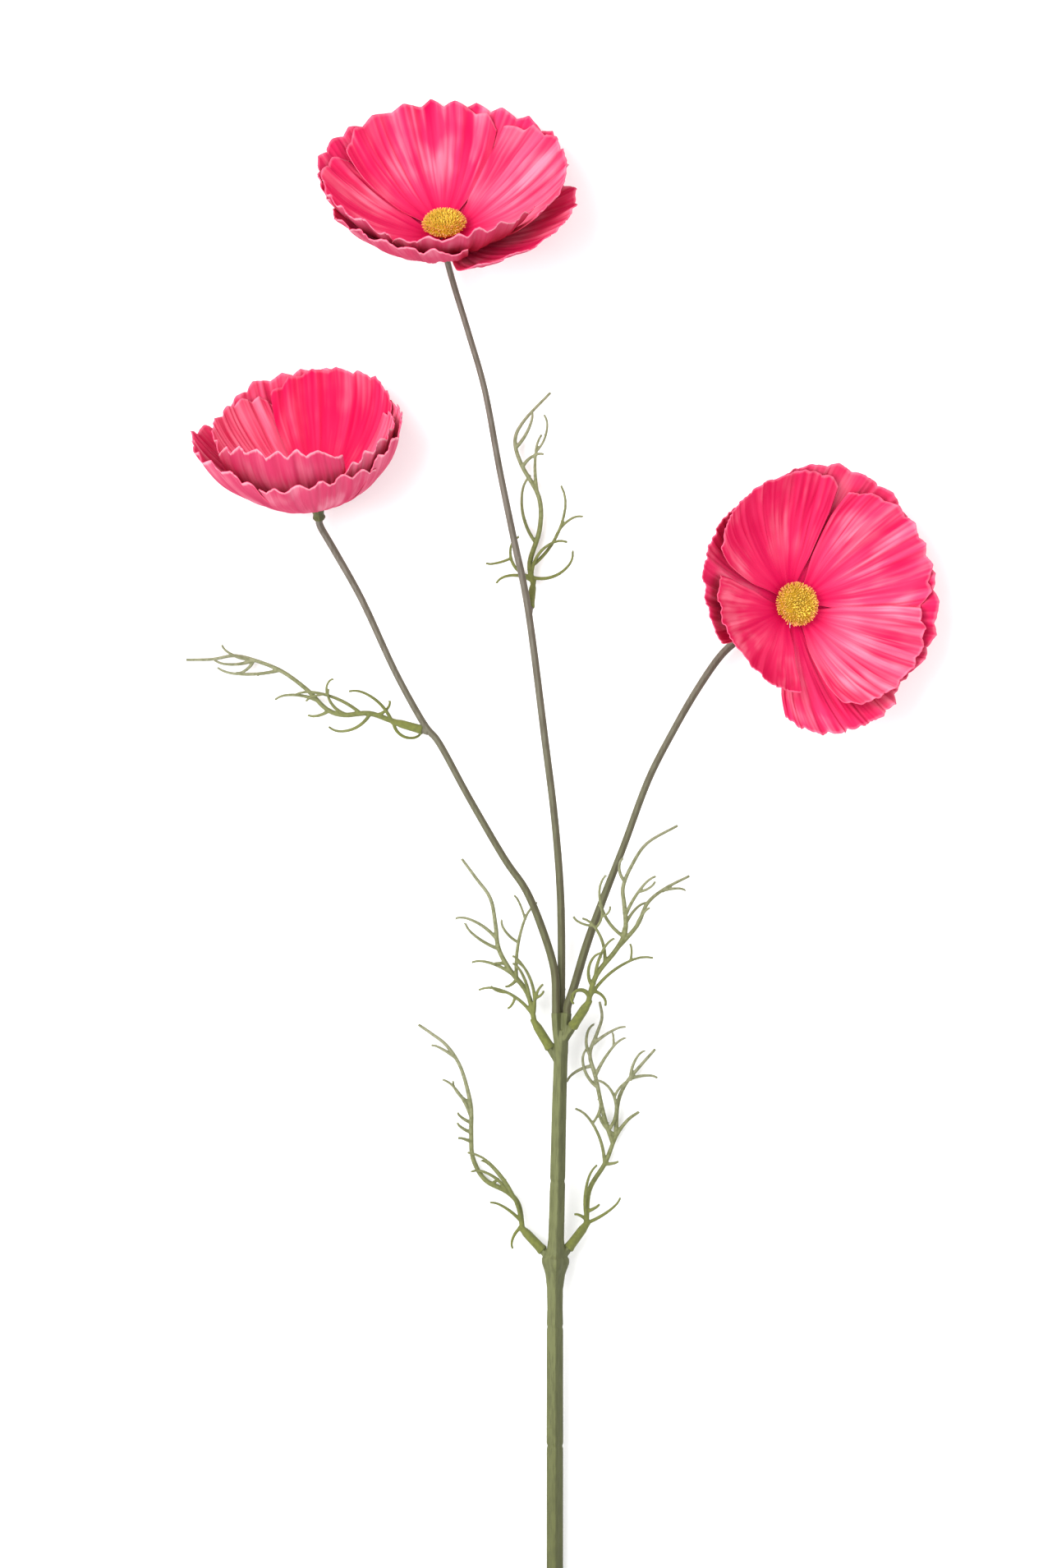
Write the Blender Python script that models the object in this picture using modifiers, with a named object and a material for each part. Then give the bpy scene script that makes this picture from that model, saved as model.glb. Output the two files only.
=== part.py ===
"""Cosmos spray lying on a table: three cupped blooms and six feathery leaves on a forked stem.

A made flower: cloth petals, a moulded stem over a steel wire, plug-in leaves.  Lengths are
written in millimetres with +Y along the stem; the root empty carries everything so that the
bottom centre of the whole spray is the origin.
"""
import math
from dataclasses import dataclass

import bmesh
import bpy
from mathutils import Matrix, Vector

MM = 0.001

# ---- petals ------------------------------------------------------------------------------
CLAW_RADIUS = 2.1          # where every petal starts, out from the bloom's axis
PETAL_RUN = 50.0           # length over which the bowl turns from base to tip angle
PETAL_THICK = 0.5
LAYER_BASE = 0.9           # inner ring of petals above the outer ring, at the claws
LAYER_RIM = 2.8            # and at the rim
TEETH = 6                  # points along a petal's rim
TOOTH = 2.4
PLEAT = 0.35
PETAL_COLUMNS = 2 * TEETH
PETAL_ROWS = 4

# ---- bloom centre, heights along the bloom's own axis -------------------------------------
CALYX_TOP = -0.65
CALYX_LONG = 6.0
CALYX_WIDE = 3.0
CALYX_NARROW = 1.95
POST_RADIUS = 1.4
POST_TOP = 4.4
DISC_RADIUS = 7.4
DISC_FOOT = 2.3
DISC_RIM = 4.2
DISC_TOP = 8.2
DISC_BORE = 1.8
DISC_BORE_TOP = 5.0

# ---- plugs and sockets -------------------------------------------------------------------
SPIGOT = 0.8
SOCKET = 1.15
SOCKET_DEPTH = 5.2
SEAT_GAP = 0.35            # shoulder to shoulder
WIRE_RADIUS = 0.8
WIRE_LONG = 60.0

CUT_END = Vector((0.0, -70.0, 2.65))
STEM_AIM = Vector((0.0, 1.0, 0.036)).normalized()
FORK = Vector((2.2, 188.7, 12.0))


@dataclass(frozen=True)
class Petal:
    """One petal: where it points, which ring it is in, its length and its half-width."""
    azimuth: float
    inner: bool
    length: float
    spread: float
    lift: float = 0.0      # whole petal away from the other ring, at the rim
    edge: float = 0.0      # one side edge away from the other ring


@dataclass(frozen=True)
class Bloom:
    """One bloom: the seat of its petals, the way it faces, and its bowl."""
    name: str
    seat: tuple
    axis: tuple
    base_angle: float
    tip_angle: float
    base_swing: float
    tip_swing: float
    swing_at: float
    petals: tuple


@dataclass(frozen=True)
class Leaf:
    """One leaf sprig: its plug on the stem, its main strands and its side threads."""
    name: str
    root: tuple            # on the centreline of the stem that carries it
    aim: tuple             # the way the plug points
    bare: float            # length of the lug before the sleeve starts
    sleeve: float          # outer radius of the sleeve
    strands: tuple         # main strands: points (x, y, z) after the sleeve
    threads: tuple         # (strand, how far along, heading, length, turn, rise)


TOP = Bloom("top", (-37.5, 454.0, 19.4), (-0.05, 0.74, 0.67), 6, 56, -3, 12, -115, (
    Petal(106, True, 50.5, 39), Petal(12, True, 50, 41), Petal(-72, True, 47, 42, 2),
    Petal(-165, True, 49, 42), Petal(146, False, 50, 42), Petal(60, False, 50, 42),
    Petal(-31, False, 46, 43, 7), Petal(-124, False, 45, 44)))
LEFT = Bloom("left", (-81.5, 363.5, 15.2), (-0.12, 0.84, 0.53), 11, 82, 0, 2, -90, (
    Petal(68, True, 50, 42), Petal(160, True, 46.5, 42), Petal(-20, True, 44, 42),
    Petal(-108, True, 52, 42), Petal(102, False, 49, 42), Petal(-1, False, 44.5, 39),
    Petal(-82, False, 41, 39, 2.5), Petal(-163, False, 47, 40, 5)))
RIGHT = Bloom("right", (81.0, 328.1, 13.0), (0.30, 0.12, 0.95), 8, 54, 0, 6, 200, (
    Petal(117, True, 51, 37), Petal(34, True, 50, 33), Petal(-38, True, 49, 32, 1),
    Petal(-144, True, 44, 42, 3), Petal(75, False, 51, 38), Petal(-5, False, 49, 37),
    Petal(-71, False, 49.5, 28, 4), Petal(163, False, 46, 41)))
BLOOMS = (TOP, LEFT, RIGHT)

# Main stem: (x, y, z, radius).  It swells at the leaf collar and at the fork.
STEM = ((0, -70, 2.65, 2.65), (0, -40, 3.73, 2.65), (0, 0, 5.17, 2.6), (0, 60, 7.33, 2.6),
        (0, 96, 8.7, 2.65), (0.1, 101, 8.88, 3.5), (0.2, 104, 9.0, 4.6), (0.3, 107.5, 9.12, 3.2),
        (0.4, 111, 9.27, 2.6), (1.4, 156, 10.8, 2.35), (1.9, 176, 11.6, 2.2),
        (2.1, 182, 11.9, 2.9), (2.2, 186.5, 12, 3.9), (2.2, 188.7, 12, 3.8))

# Branches after the fork: socket offset (x, z) from the fork, then points (x, y, z, radius).
BRANCHES = {
    "top": ((0.0, -1.75), ((2.2, 192, 10.25, 1.3), (2.0, 226, 11, 1.3), (0, 254, 11.6, 1.25),
            (-3.4, 282, 12, 1.25), (-9.2, 327, 12, 1.2), (-14.3, 352, 12, 1.15),
            (-19, 375, 11.8, 1.1), (-24, 402, 11.2, 1.05), (-29.7, 422, 10.2, 1.05),
            (-34.6, 438, 9.8, 1.05))),
    "left": ((-1.9, 1.2), ((0.3, 192, 13.2, 1.35), (-0.3, 204, 13.4, 1.35),
             (-4.5, 218, 13.6, 1.3), (-10, 231, 13.6, 1.25), (-17.5, 242, 13.4, 1.2),
             (-29.7, 263, 12.8, 1.15), (-39.5, 281, 12, 1.15), (-45, 288, 11.6, 1.15),
             (-54.9, 306, 10.6, 1.1), (-66, 330, 9.2, 1.15), (-75.5, 347, 7.9, 1.2))),
    "right": ((1.9, 1.0), ((4.3, 191.5, 13, 1.4), (6.7, 198.5, 13, 1.4), (10.9, 212.5, 13, 1.4),
              (16.5, 228, 12.8, 1.3), (23.5, 246, 12.4, 1.2), (31.9, 268.5, 11.6, 1.2),
              (40.3, 285, 10.8, 1.2), (48.7, 299.5, 9.4, 1.25), (57.5, 312, 7.4, 1.3),
              (66, 319, 4.0, 1.3), (72, 323.2, 1.8, 1.3), (76, 325.4, 1.3, 1.3))),
}

LEAVES = (
    Leaf("a", (-8.8, 325.5, 12.0), (0.10, 0.80, -0.60), 4.4, 1.45, (
        ((-8.6, 343.5, 3.4), (-5.2, 355, 3.4), (-5.5, 366, 4.2), (-11.5, 377, 5),
         (-13.7, 385.5, 4.4), (-10.4, 392.5, 3.6), (-1.5, 402, 2.4)),), (
        (0, 0.20, 112, 25, -30, 1.2), (0, 0.08, 52, 32, 30, 4.0), (2, 0.40, 57, 13, -30, 1.5),
        (0, 0.04, 70, 19, -50, 5.5), (0, 0.03, 5, 19, 50, 3.0), (0, 0.43, 92, 21, -6, 3.0),
        (6, 0.70, 60, 14, 30, 1.0), (0, 0.68, 58, 14, 14, 2.4), (0, 0.58, 48, 9, -30, 2.0),
        (0, 0.03, 146, 19, -72, -0.6), (10, 0.55, 196, 9, -4, 0.4), (0, 0.01, 160, 14, 40, -1.4))),
    Leaf("b", (-43.4, 285.2, 11.7), (-0.90, 0.26, -0.34), 3.6, 1.6, (
        ((-57, 289.3, 6.2), (-64, 291.6, 5.2), (-72.5, 291, 4.8), (-78.5, 293, 5.2),
         (-85, 299.5, 5.6), (-93.5, 305.8, 5.4), (-102, 309.4, 4.6), (-110, 311.4, 3.8),
         (-118, 310.2, 2.8), (-127, 310.0, 1.8)),), (
        (0, 0.22, 148, 12, -40, 3.0), (1, 0.85, 190, 8, 10, 1.0), (1, 0.80, 100, 7, -50, 1.4),
        (0, 0.36, 165, 16, 20, -2.0), (0, 0.02, 128, 19, 30, 4.5), (0, 0.10, 20, 8, 40, 2.4),
        (0, 0.01, -60, 14, 80, -1.6), (0, 0.12, 222, 17, -45, -2.4), (0, 0.30, 205, 8, -20, -1.4),
        (0, 0.16, 152, 25, 20, 1.8), (0, 0.58, 184, 22, -8, -2.4), (0, 0.70, 190, 14, -16, 1.4),
        (0, 0.72, 165, 11, -20, 2.6), (0, 0.70, 232, 8, -30, -1.8))),
    Leaf("c", (1.0, 172.5, 11.4), (-0.52, 0.85, -0.10), 6.4, 1.75, (
        ((-9.4, 195.5, 9.4), (-15.5, 203.5, 8.4), (-19.4, 211, 7.8), (-20.4, 219, 7.2),
         (-22.2, 228, 6.4), (-27.2, 235, 5.2), (-32, 241.5, 3.6)),), (
        (0, 0.50, 140, 17, 20, -1.6), (0, 0.45, 150, 15, -10, 2.2), (0, 0.28, 152, 16, 16, -2.4),
        (0, 0.36, 180, 5, 0, 1.0), (0, 0.26, 226, 5, -20, -1.0), (0, 0.04, 138, 22, 30, -3.4),
        (6, 0.55, 170, 6, -20, 1.0), (6, 0.40, 250, 5, -20, -0.8), (0, 0.03, 92, 21, 24, 3.4),
        (9, 0.55, 118, 12, 8, 1.8), (0, 0.10, 104, 16, 12, 5.2), (0, 0.0, 88, 14, -16, 2.2),
        (12, 0.6, 30, 4, 20, 0.6), (0, 0.26, 84, 28, -12, 1.2), (14, 0.45, 140, 10, -20, 1.4),
        (14, 0.75, 112, 9, 0, 1.0))),
    Leaf("d", (2.6, 179.0, 12.2), (0.50, 0.78, 0.38), 8.2, 1.75, (
        ((14, 202, 19.6), (21, 211, 19.4), (24, 217.5, 18.6), (23.6, 226, 17.6),
         (23.2, 232, 16.6), (26, 239, 15.2), (31.5, 247, 13.4), (42, 253, 11)),
        ((21, 211, 19.4), (28, 219, 18.2), (31.5, 226.5, 16.8), (37.5, 231.5, 15.2),
         (46, 235.8, 13))), (
        (0, 0.36, 128, 24, -40, 2.0), (0, 0.20, 98, 19, 30, 4.2), (3, 0.75, 168, 8, -20, 1.0),
        (3, 0.70, 60, 9, 40, 1.0), (0, 0.62, 118, 9, -40, 2.0), (5, 0.5, 30, 5, 40, 0.6),
        (0, 0.45, 60, 18, -8, 3.0), (0, 0.36, 68, 15, -24, -3.0), (8, 0.55, 20, 7, 20, 0.4),
        (1, 0.28, 62, 8, -10, 2.0), (1, 0.70, 8, 8, -6, -1.0), (0, 0.03, 46, 27, -24, -3.6),
        (13, 0.70, 84, 6, 10, 0.6), (0, 0.06, -20, 8, -50, -2.0), (0, 0.0, 108, 13, 150, 2.2),
        (0, 0.02, 118, 10, 120, 3.6), (0, 0.08, 104, 14, -50, 4.4), (0, 0.12, 76, 16, -16, 5.0))),
    Leaf("e", (-0.6, 103.5, 9.0), (-0.68, 0.70, -0.24), 6.6, 1.75, (
        ((-12.5, 122.5, 3.6), (-16.5, 127, 2.8), (-24, 131, 2.6), (-28.2, 138.5, 3),
         (-28.8, 147, 3.4), (-28.8, 155.5, 3.8), (-30.4, 163.5, 3.8), (-33, 171, 3.4),
         (-37.4, 177.4, 2.8), (-42.6, 181.4, 2.2), (-47, 184.4, 1.6)),), (
        (0, 0.54, 118, 17, 12, 2.0), (0, 0.60, 140, 10, -20, 0.6), (0, 0.52, 150, 6, -10, 1.6),
        (0, 0.48, 152, 6, -10, 1.2), (0, 0.44, 160, 5, 0, 2.0), (0, 0.80, 150, 9, 0, 1.2),
        (0, 0.02, 112, 33, 24, 6.4), (7, 0.30, 128, 17, 0, 2.0), (0, 0.16, 132, 16, 28, 2.2),
        (0, 0.03, 140, 13, 10, 3.0), (0, 0.01, 230, 9, 30, -0.8), (0, 0.24, 40, 3, 0, 1.0))),
    Leaf("f", (1.2, 103.5, 9.0), (0.60, 0.78, -0.20), 7.0, 1.75, (
        ((11.8, 127.5, 3.8), (17.4, 137, 3.2), (21, 146, 3), (25, 151.5, 2.6), (29, 154.4, 1.8)),
        ((20, 143.4, 3.1), (16.8, 153.5, 5), (14, 166.5, 6.6), (12, 174.5, 6.6),
         (14.4, 181.4, 5.8), (16.2, 187, 4.6), (15.4, 192.4, 3.4)),
        ((21, 146, 3), (21.6, 157, 3), (24.3, 164, 3.2), (29.2, 170, 2.8), (34.6, 176, 1.8))), (
        (1, 0.62, 104, 12, -36, 1.6), (1, 0.70, 34, 13, -6, 1.0), (1, 0.48, 58, 17, -6, 1.2),
        (5, 0.70, 92, 5, 0, 0.6), (1, 0.10, 74, 22, 60, 5.0), (7, 0.55, 58, 9, -20, 1.0),
        (1, 0.40, 128, 15, -36, 1.4), (1, 0.55, 200, 11, 20, -2.2), (0, 0.50, 104, 23, 22, 3.0),
        (11, 0.65, 62, 9, 20, 1.0), (0, 0.74, 138, 12, -30, 3.4), (2, 0.62, 76, 11, -20, 2.0),
        (2, 0.60, 12, 10, -14, -1.2), (0, 0.50, 10, 5, 0, 1.0), (0, 0.04, 90, 20, -16, 3.4),
        (0, 0.03, 140, 5, 20, 1.0), (0, 0.10, 30, 5, 0, 1.2), (0, 0.01, 30, 15, 8, -1.0))),
)

PALETTE = {
    "petal": ((0.90, 0.03, 0.16), 0.75), "calyx": ((0.16, 0.17, 0.08), 0.6),
    "disc": ((0.62, 0.33, 0.02), 0.9), "stem": ((0.17, 0.19, 0.09), 0.55),
    "branch": ((0.24, 0.22, 0.17), 0.55), "leaf": ((0.40, 0.43, 0.18), 0.8),
    "steel": ((0.45, 0.45, 0.45), 0.35),
}


# ---- scene helpers -----------------------------------------------------------------------
def clear_scene():
    """Remove every object that is already in the scene."""
    for obj in list(bpy.data.objects):
        bpy.data.objects.remove(obj, do_unlink=True)


def collection(name):
    """Return a new collection linked to the scene."""
    made = bpy.data.collections.new(name)
    bpy.context.scene.collection.children.link(made)
    return made


def finish(key):
    """Return the material of one palette entry."""
    name = "cosmos_" + key
    found = bpy.data.materials.get(name)
    if found:
        return found
    colour, rough = PALETTE[key]
    made = bpy.data.materials.new(name)
    made.use_nodes = True
    shader = made.node_tree.nodes["Principled BSDF"]
    shader.inputs["Base Color"].default_value = (*colour, 1.0)
    shader.inputs["Roughness"].default_value = rough
    shader.inputs["Metallic"].default_value = 1.0 if key == "steel" else 0.0
    return made


def add_object(name, bm, into, key, parent):
    """Turn a bmesh into an object with its finish, welded and facing out."""
    bmesh.ops.remove_doubles(bm, verts=bm.verts, dist=0.000001)
    bmesh.ops.recalc_face_normals(bm, faces=bm.faces)
    mesh = bpy.data.meshes.new(name)
    bm.to_mesh(mesh)
    bm.free()
    mesh.materials.append(finish(key))
    obj = bpy.data.objects.new(name, mesh)
    into.objects.link(obj)
    obj.parent = parent
    return obj


def hide_cutter(obj):
    """Mark an object as a cutter."""
    obj.hide_render = True
    obj.display_type = "WIRE"
    return obj


def cut(obj, cutter):
    """Merge an object's own shells into one body and take the cutter out of it."""
    mod = obj.modifiers.new("cut", "BOOLEAN")
    mod.operation = "DIFFERENCE"
    mod.solver = "EXACT"
    mod.use_self = True
    mod.object = cutter


# ---- shapes ------------------------------------------------------------------------------
def smooth(points, steps):
    """Return a Catmull-Rom path through the points, with steps spans between each pair."""
    rows = [Vector(p) for p in points]
    ends = [rows[0] * 2 - rows[1]] + rows + [rows[-1] * 2 - rows[-2]]
    out = []
    for a, b, c, d in zip(ends, ends[1:], ends[2:], ends[3:]):
        for i in range(steps):
            t = i / steps
            out.append(0.5 * (2 * b + (c - a) * t + (2 * a - 5 * b + 4 * c - d) * t * t
                              + (3 * b - a - 3 * c + d) * t ** 3))
    return out + [rows[-1]]


def tube_mesh(paths, sides):
    """Return a bmesh of closed round tubes along paths of (x, y, z, radius)."""
    curve = bpy.data.curves.new("tube", "CURVE")
    curve.dimensions = "3D"
    curve.bevel_depth = MM
    curve.bevel_resolution = (sides - 4) // 2
    curve.use_fill_caps = True
    for path in paths:
        spline = curve.splines.new("POLY")
        spline.points.add(len(path) - 1)
        for point, row in zip(spline.points, path):
            point.co = (row[0] * MM, row[1] * MM, row[2] * MM, 1.0)
            point.radius = row[3]
    holder = bpy.data.objects.new("tube", curve)
    bpy.context.scene.collection.objects.link(holder)
    graph = bpy.context.evaluated_depsgraph_get()
    mesh = bpy.data.meshes.new_from_object(holder.evaluated_get(graph))
    bm = bmesh.new()
    bm.from_mesh(mesh)
    bpy.data.objects.remove(holder, do_unlink=True)
    bpy.data.curves.remove(curve)
    bpy.data.meshes.remove(mesh)
    bmesh.ops.remove_doubles(bm, verts=bm.verts, dist=0.000001)
    return bm


def rod(start, end, radius, radius_end=None):
    """Return one straight tube as a two-point path."""
    last = radius if radius_end is None else radius_end
    return ((*start, radius), (*end, last))


def turned_mesh(profile, sides):
    """Return a bmesh turned about Z from (radius, height) corners, bottom to top."""
    bm = bmesh.new()
    corners = [bm.verts.new((r * MM, 0, h * MM)) for r, h in profile]
    edges = [bm.edges.new(pair) for pair in zip(corners, corners[1:])]
    bmesh.ops.spin(bm, geom=corners + edges, cent=(0, 0, 0), axis=(0, 0, 1), steps=sides,
                   angle=math.tau, use_merge=True, use_duplicate=False)
    bmesh.ops.remove_doubles(bm, verts=bm.verts, dist=0.000001)
    return bm


# ---- blooms ------------------------------------------------------------------------------
def bloom_matrix(bloom):
    """Return the frame of a bloom: its seat, with Z along the way it faces."""
    z = Vector(bloom.axis).normalized()
    x = (Vector((1, 0, 0)) - z * z.x).normalized()
    frame = Matrix((x, z.cross(x), z)).transposed().to_4x4()
    frame.translation = Vector(bloom.seat) * MM
    return frame


def bowl(bloom, phi, s):
    """Return the bowl's radius, height and slope at arc length s, in the direction phi."""
    swing = math.cos(phi - math.radians(bloom.swing_at))
    first = math.radians(bloom.base_angle + bloom.base_swing * swing)
    last = math.radians(bloom.tip_angle + bloom.tip_swing * swing)
    bend = (last - first) / PETAL_RUN
    slope = first + bend * s
    out = CLAW_RADIUS + (math.sin(slope) - math.sin(first)) / bend
    return out, (math.cos(first) - math.cos(slope)) / bend, slope


def petal_point(bloom, petal, u, v):
    """Return a point of a petal's middle surface: u across from -1 to 1, v from claw to rim."""
    notch = 0.5 - abs(((u + 1) * TEETH / 2) % 1.0 - 0.5)
    s = petal.length * v * (1 - 0.13 * abs(u) ** 3.2)
    s += TOOTH * (2 * notch - 0.5) * max(0.0, v - 0.6) ** 2 / 0.16
    ease = min(1.0, v / 0.4)
    width = 0.74 + 0.26 * ease * ease * (3 - 2 * ease) - 0.2 * max(0.0, v - 0.75)
    phi = math.radians(petal.azimuth + u * petal.spread * width)
    out, height, slope = bowl(bloom, phi, s)
    q = s / PETAL_RUN
    side = 1.0 if petal.inner else -1.0
    off = (LAYER_BASE + (LAYER_RIM - LAYER_BASE) * q) if petal.inner else 0.0
    off += side * petal.lift * q * q + PLEAT * (4 * notch - 1) * q ** 1.3
    off += side * abs(petal.edge) * q * q * (0.5 + math.copysign(0.5, petal.edge) * u) ** 2
    out -= off * math.sin(slope)
    return Vector((out * math.cos(phi), out * math.sin(phi), height + off * math.cos(slope))) * MM


def build_petal(bloom, petal, number, into, parent):
    """Build one petal as a thin closed sheet."""
    bm = bmesh.new()
    bmesh.ops.create_grid(bm, x_segments=PETAL_COLUMNS, y_segments=PETAL_ROWS, size=1.0)
    for vert in bm.verts:
        vert.co = petal_point(bloom, petal, vert.co.x, (vert.co.y + 1) / 2)
    obj = add_object(f"petal_{bloom.name}_{number}", bm, into, "petal", parent)
    obj.matrix_local = bloom_matrix(bloom)
    mod = obj.modifiers.new("cloth", "SOLIDIFY")
    mod.thickness = PETAL_THICK * MM
    mod.offset = 0.0


def build_centre(bloom, into, cutters, parent):
    """Build a bloom's calyx with its post, and the disc that sits on the post."""
    frame = bloom_matrix(bloom)
    foot = CALYX_TOP - CALYX_LONG
    bm = turned_mesh(((0, foot), (CALYX_NARROW, foot), (CALYX_NARROW + 0.1, foot + 2),
                      (CALYX_WIDE, CALYX_TOP - 0.8), (CALYX_WIDE, CALYX_TOP),
                      (POST_RADIUS, CALYX_TOP), (POST_RADIUS, POST_TOP), (0, POST_TOP)), 16)
    calyx = add_object("calyx_" + bloom.name, bm, into, "calyx", parent)
    calyx.matrix_local = frame
    top = foot + SOCKET_DEPTH - 0.6
    bore = turned_mesh(((0, foot - 1), (SOCKET, foot - 1), (SOCKET, top), (0, top)), 12)
    bore = hide_cutter(add_object("bore_calyx_" + bloom.name, bore, cutters, "calyx", parent))
    bore.matrix_local = frame
    cut(calyx, bore)
    bm = turned_mesh(((0, DISC_FOOT), (3.2, DISC_FOOT), (DISC_RADIUS - 0.5, DISC_RIM - 0.3),
                      (DISC_RADIUS, DISC_RIM + 0.5), (DISC_RADIUS - 0.7, DISC_RIM + 2.2),
                      (4.6, DISC_TOP - 0.7), (2.0, DISC_TOP), (0, DISC_TOP)), 20)
    disc = add_object("disc_" + bloom.name, bm, into, "disc", parent)
    disc.matrix_local = frame
    bore = turned_mesh(((0, DISC_FOOT - 1), (DISC_BORE, DISC_FOOT - 1),
                        (DISC_BORE, DISC_BORE_TOP), (0, DISC_BORE_TOP)), 12)
    bore = hide_cutter(add_object("bore_disc_" + bloom.name, bore, cutters, "disc", parent))
    bore.matrix_local = frame
    cut(disc, bore)


# ---- stem and branches -------------------------------------------------------------------
def along(points, share):
    """Return the point at a share of a path's length, and the radius there if it has one."""
    rows = [Vector(p) for p in points]
    spans = [(b.to_3d() - a.to_3d()).length for a, b in zip(rows, rows[1:])]
    left = share * sum(spans)
    for a, b, span in zip(rows, rows[1:], spans):
        if left <= span:
            return a.lerp(b, left / span)
        left -= span
    return rows[-1]


def lugs(carrier):
    """Return the lug and peg rods that a stem or branch holds out for its leaves."""
    rods = []
    for leaf in LEAVES:
        if LEAF_CARRIER[leaf.name] != carrier:
            continue
        root, aim = Vector(leaf.root), Vector(leaf.aim).normalized()
        lug_end = root + aim * (leaf.bare - SEAT_GAP)
        peg_end = root + aim * (leaf.bare + 6.2)
        rods.append(rod(root, lug_end, leaf.sleeve - 0.45))
        rods.append(rod(root + aim, peg_end, peg_radius(leaf)))
    return rods


def peg_radius(leaf):
    """Return the radius of the peg inside a leaf's sleeve."""
    return leaf.sleeve - 1.0


def build_stem(into, cutters, parent):
    """Build the main stem with its collar, fork crown, leaf pegs and wire bore."""
    bm = tube_mesh([STEM] + lugs("stem"), 12)
    stem = add_object("main_stem", bm, into, "stem", parent)
    holes = [rod(CUT_END - STEM_AIM * 2, CUT_END + STEM_AIM * (WIRE_LONG + 1), WIRE_RADIUS + 0.35)]
    for offset, _ in BRANCHES.values():
        mouth = FORK + Vector((offset[0], 1.0, offset[1]))
        holes.append(rod(mouth, mouth - Vector((0, SOCKET_DEPTH + 1, 0)), SOCKET))
    bores = add_object("bores_main_stem", tube_mesh(holes, 12), cutters, "stem", parent)
    cut(stem, hide_cutter(bores))
    wire = tube_mesh([rod(CUT_END + STEM_AIM * 0.4, CUT_END + STEM_AIM * WIRE_LONG, WIRE_RADIUS)], 12)
    add_object("core_wire", wire, into, "steel", parent)


def branch_path(bloom):
    """Return a branch's path from its spigot in the fork to its peg in the calyx."""
    offset, points = BRANCHES[bloom.name]
    mouth = FORK + Vector((offset[0], 0, offset[1]))
    axis, seat = Vector(bloom.axis).normalized(), Vector(bloom.seat)
    foot = seat + axis * (CALYX_TOP - CALYX_LONG)
    last = points[-1][3]
    shoulder = foot - axis * SEAT_GAP
    body = [(*(mouth + Vector((0, 0.5, 0))), points[0][3])] + list(points)
    body += [(*(shoulder - axis * 3.0), last), (*shoulder, last)]
    spigot = rod(mouth - Vector((0, SOCKET_DEPTH - 0.6, 0)), mouth + Vector((0, 1.5, 0)), SPIGOT)
    peg = rod(shoulder - axis * 1.5, foot + axis * (SOCKET_DEPTH - 1.2), SPIGOT)
    bends = [tuple(p) for p in smooth(body[1:-1], 2)]
    return [[body[0]] + bends + [body[-1]], spigot, peg]


def build_branch(bloom, into, cutters, parent):
    """Build one branch; its shells are merged by trimming the foot of its spigot."""
    bm = tube_mesh(branch_path(bloom) + lugs(bloom.name), 8)
    branch = add_object("branch_" + bloom.name, bm, into, "branch", parent)
    offset = BRANCHES[bloom.name][0]
    foot = FORK + Vector((offset[0], 0.2 - SOCKET_DEPTH, offset[1]))
    trim = tube_mesh([rod(foot - Vector((0, 2, 0)), foot + Vector((0, 0.8, 0)), 2.0)], 8)
    cut(branch, hide_cutter(add_object("trim_" + bloom.name, trim, cutters, "branch", parent)))


# ---- leaves ------------------------------------------------------------------------------
LEAF_CARRIER = {"a": "top", "b": "left", "c": "stem", "d": "stem", "e": "stem", "f": "stem"}
STRAND_RADIUS = (0.95, 0.55)
THREAD_RADIUS = (0.6, 0.36)
SLEEVE_LONG = 10.5


def thread_path(parent, share, heading, length, turn, rise):
    """Return one thread: a gentle arc in plan that leaves its parent and rises or falls."""
    start = along(parent, share)
    x, y, z = start[:3]
    path = [(x, y, z, min(THREAD_RADIUS[0], start[3] * 0.9))]
    parts = 3
    for i in range(parts):
        angle = math.radians(heading + turn * (i + 0.5) / parts)
        x += length / parts * math.cos(angle)
        y += length / parts * math.sin(angle)
        z += rise / parts
        share_out = (i + 1) / parts
        radius = path[0][3] + (THREAD_RADIUS[1] - path[0][3]) * share_out
        path.append((x, y, max(z, 0.6), radius))
    return path


def strand_path(points, first):
    """Return a main strand that tapers from first to the tip radius."""
    last = STRAND_RADIUS[1]
    count = len(points) - 1
    return [(*p, first + (last - first) * i / count) for i, p in enumerate(points)]


def build_leaf(leaf, into, cutters, parent):
    """Build one leaf: sleeve, strands and threads as one body, with a bore for the peg."""
    root, aim = Vector(leaf.root), Vector(leaf.aim).normalized()
    mouth = root + aim * leaf.bare
    tip = mouth + aim * SLEEVE_LONG
    paths = [strand_path((tuple(tip - aim * 1.5),) + leaf.strands[0], STRAND_RADIUS[0])]
    for points in leaf.strands[1:]:
        paths.append(strand_path(points, 0.8))
    for thread in leaf.threads:
        paths.append(thread_path(paths[thread[0]], *thread[1:]))
    sleeve = rod(mouth, tip, leaf.sleeve, leaf.sleeve - 0.3)
    obj = add_object("leaf_" + leaf.name, tube_mesh([sleeve] + paths, 6), into, "leaf", parent)
    bore_radius = (peg_radius(leaf) + 0.32) / math.cos(math.pi / 8)
    bore = tube_mesh([rod(mouth - aim, mouth + aim * 7.0, bore_radius)], 8)
    cut(obj, hide_cutter(add_object("bore_leaf_" + leaf.name, bore, cutters, "leaf", parent)))


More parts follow.
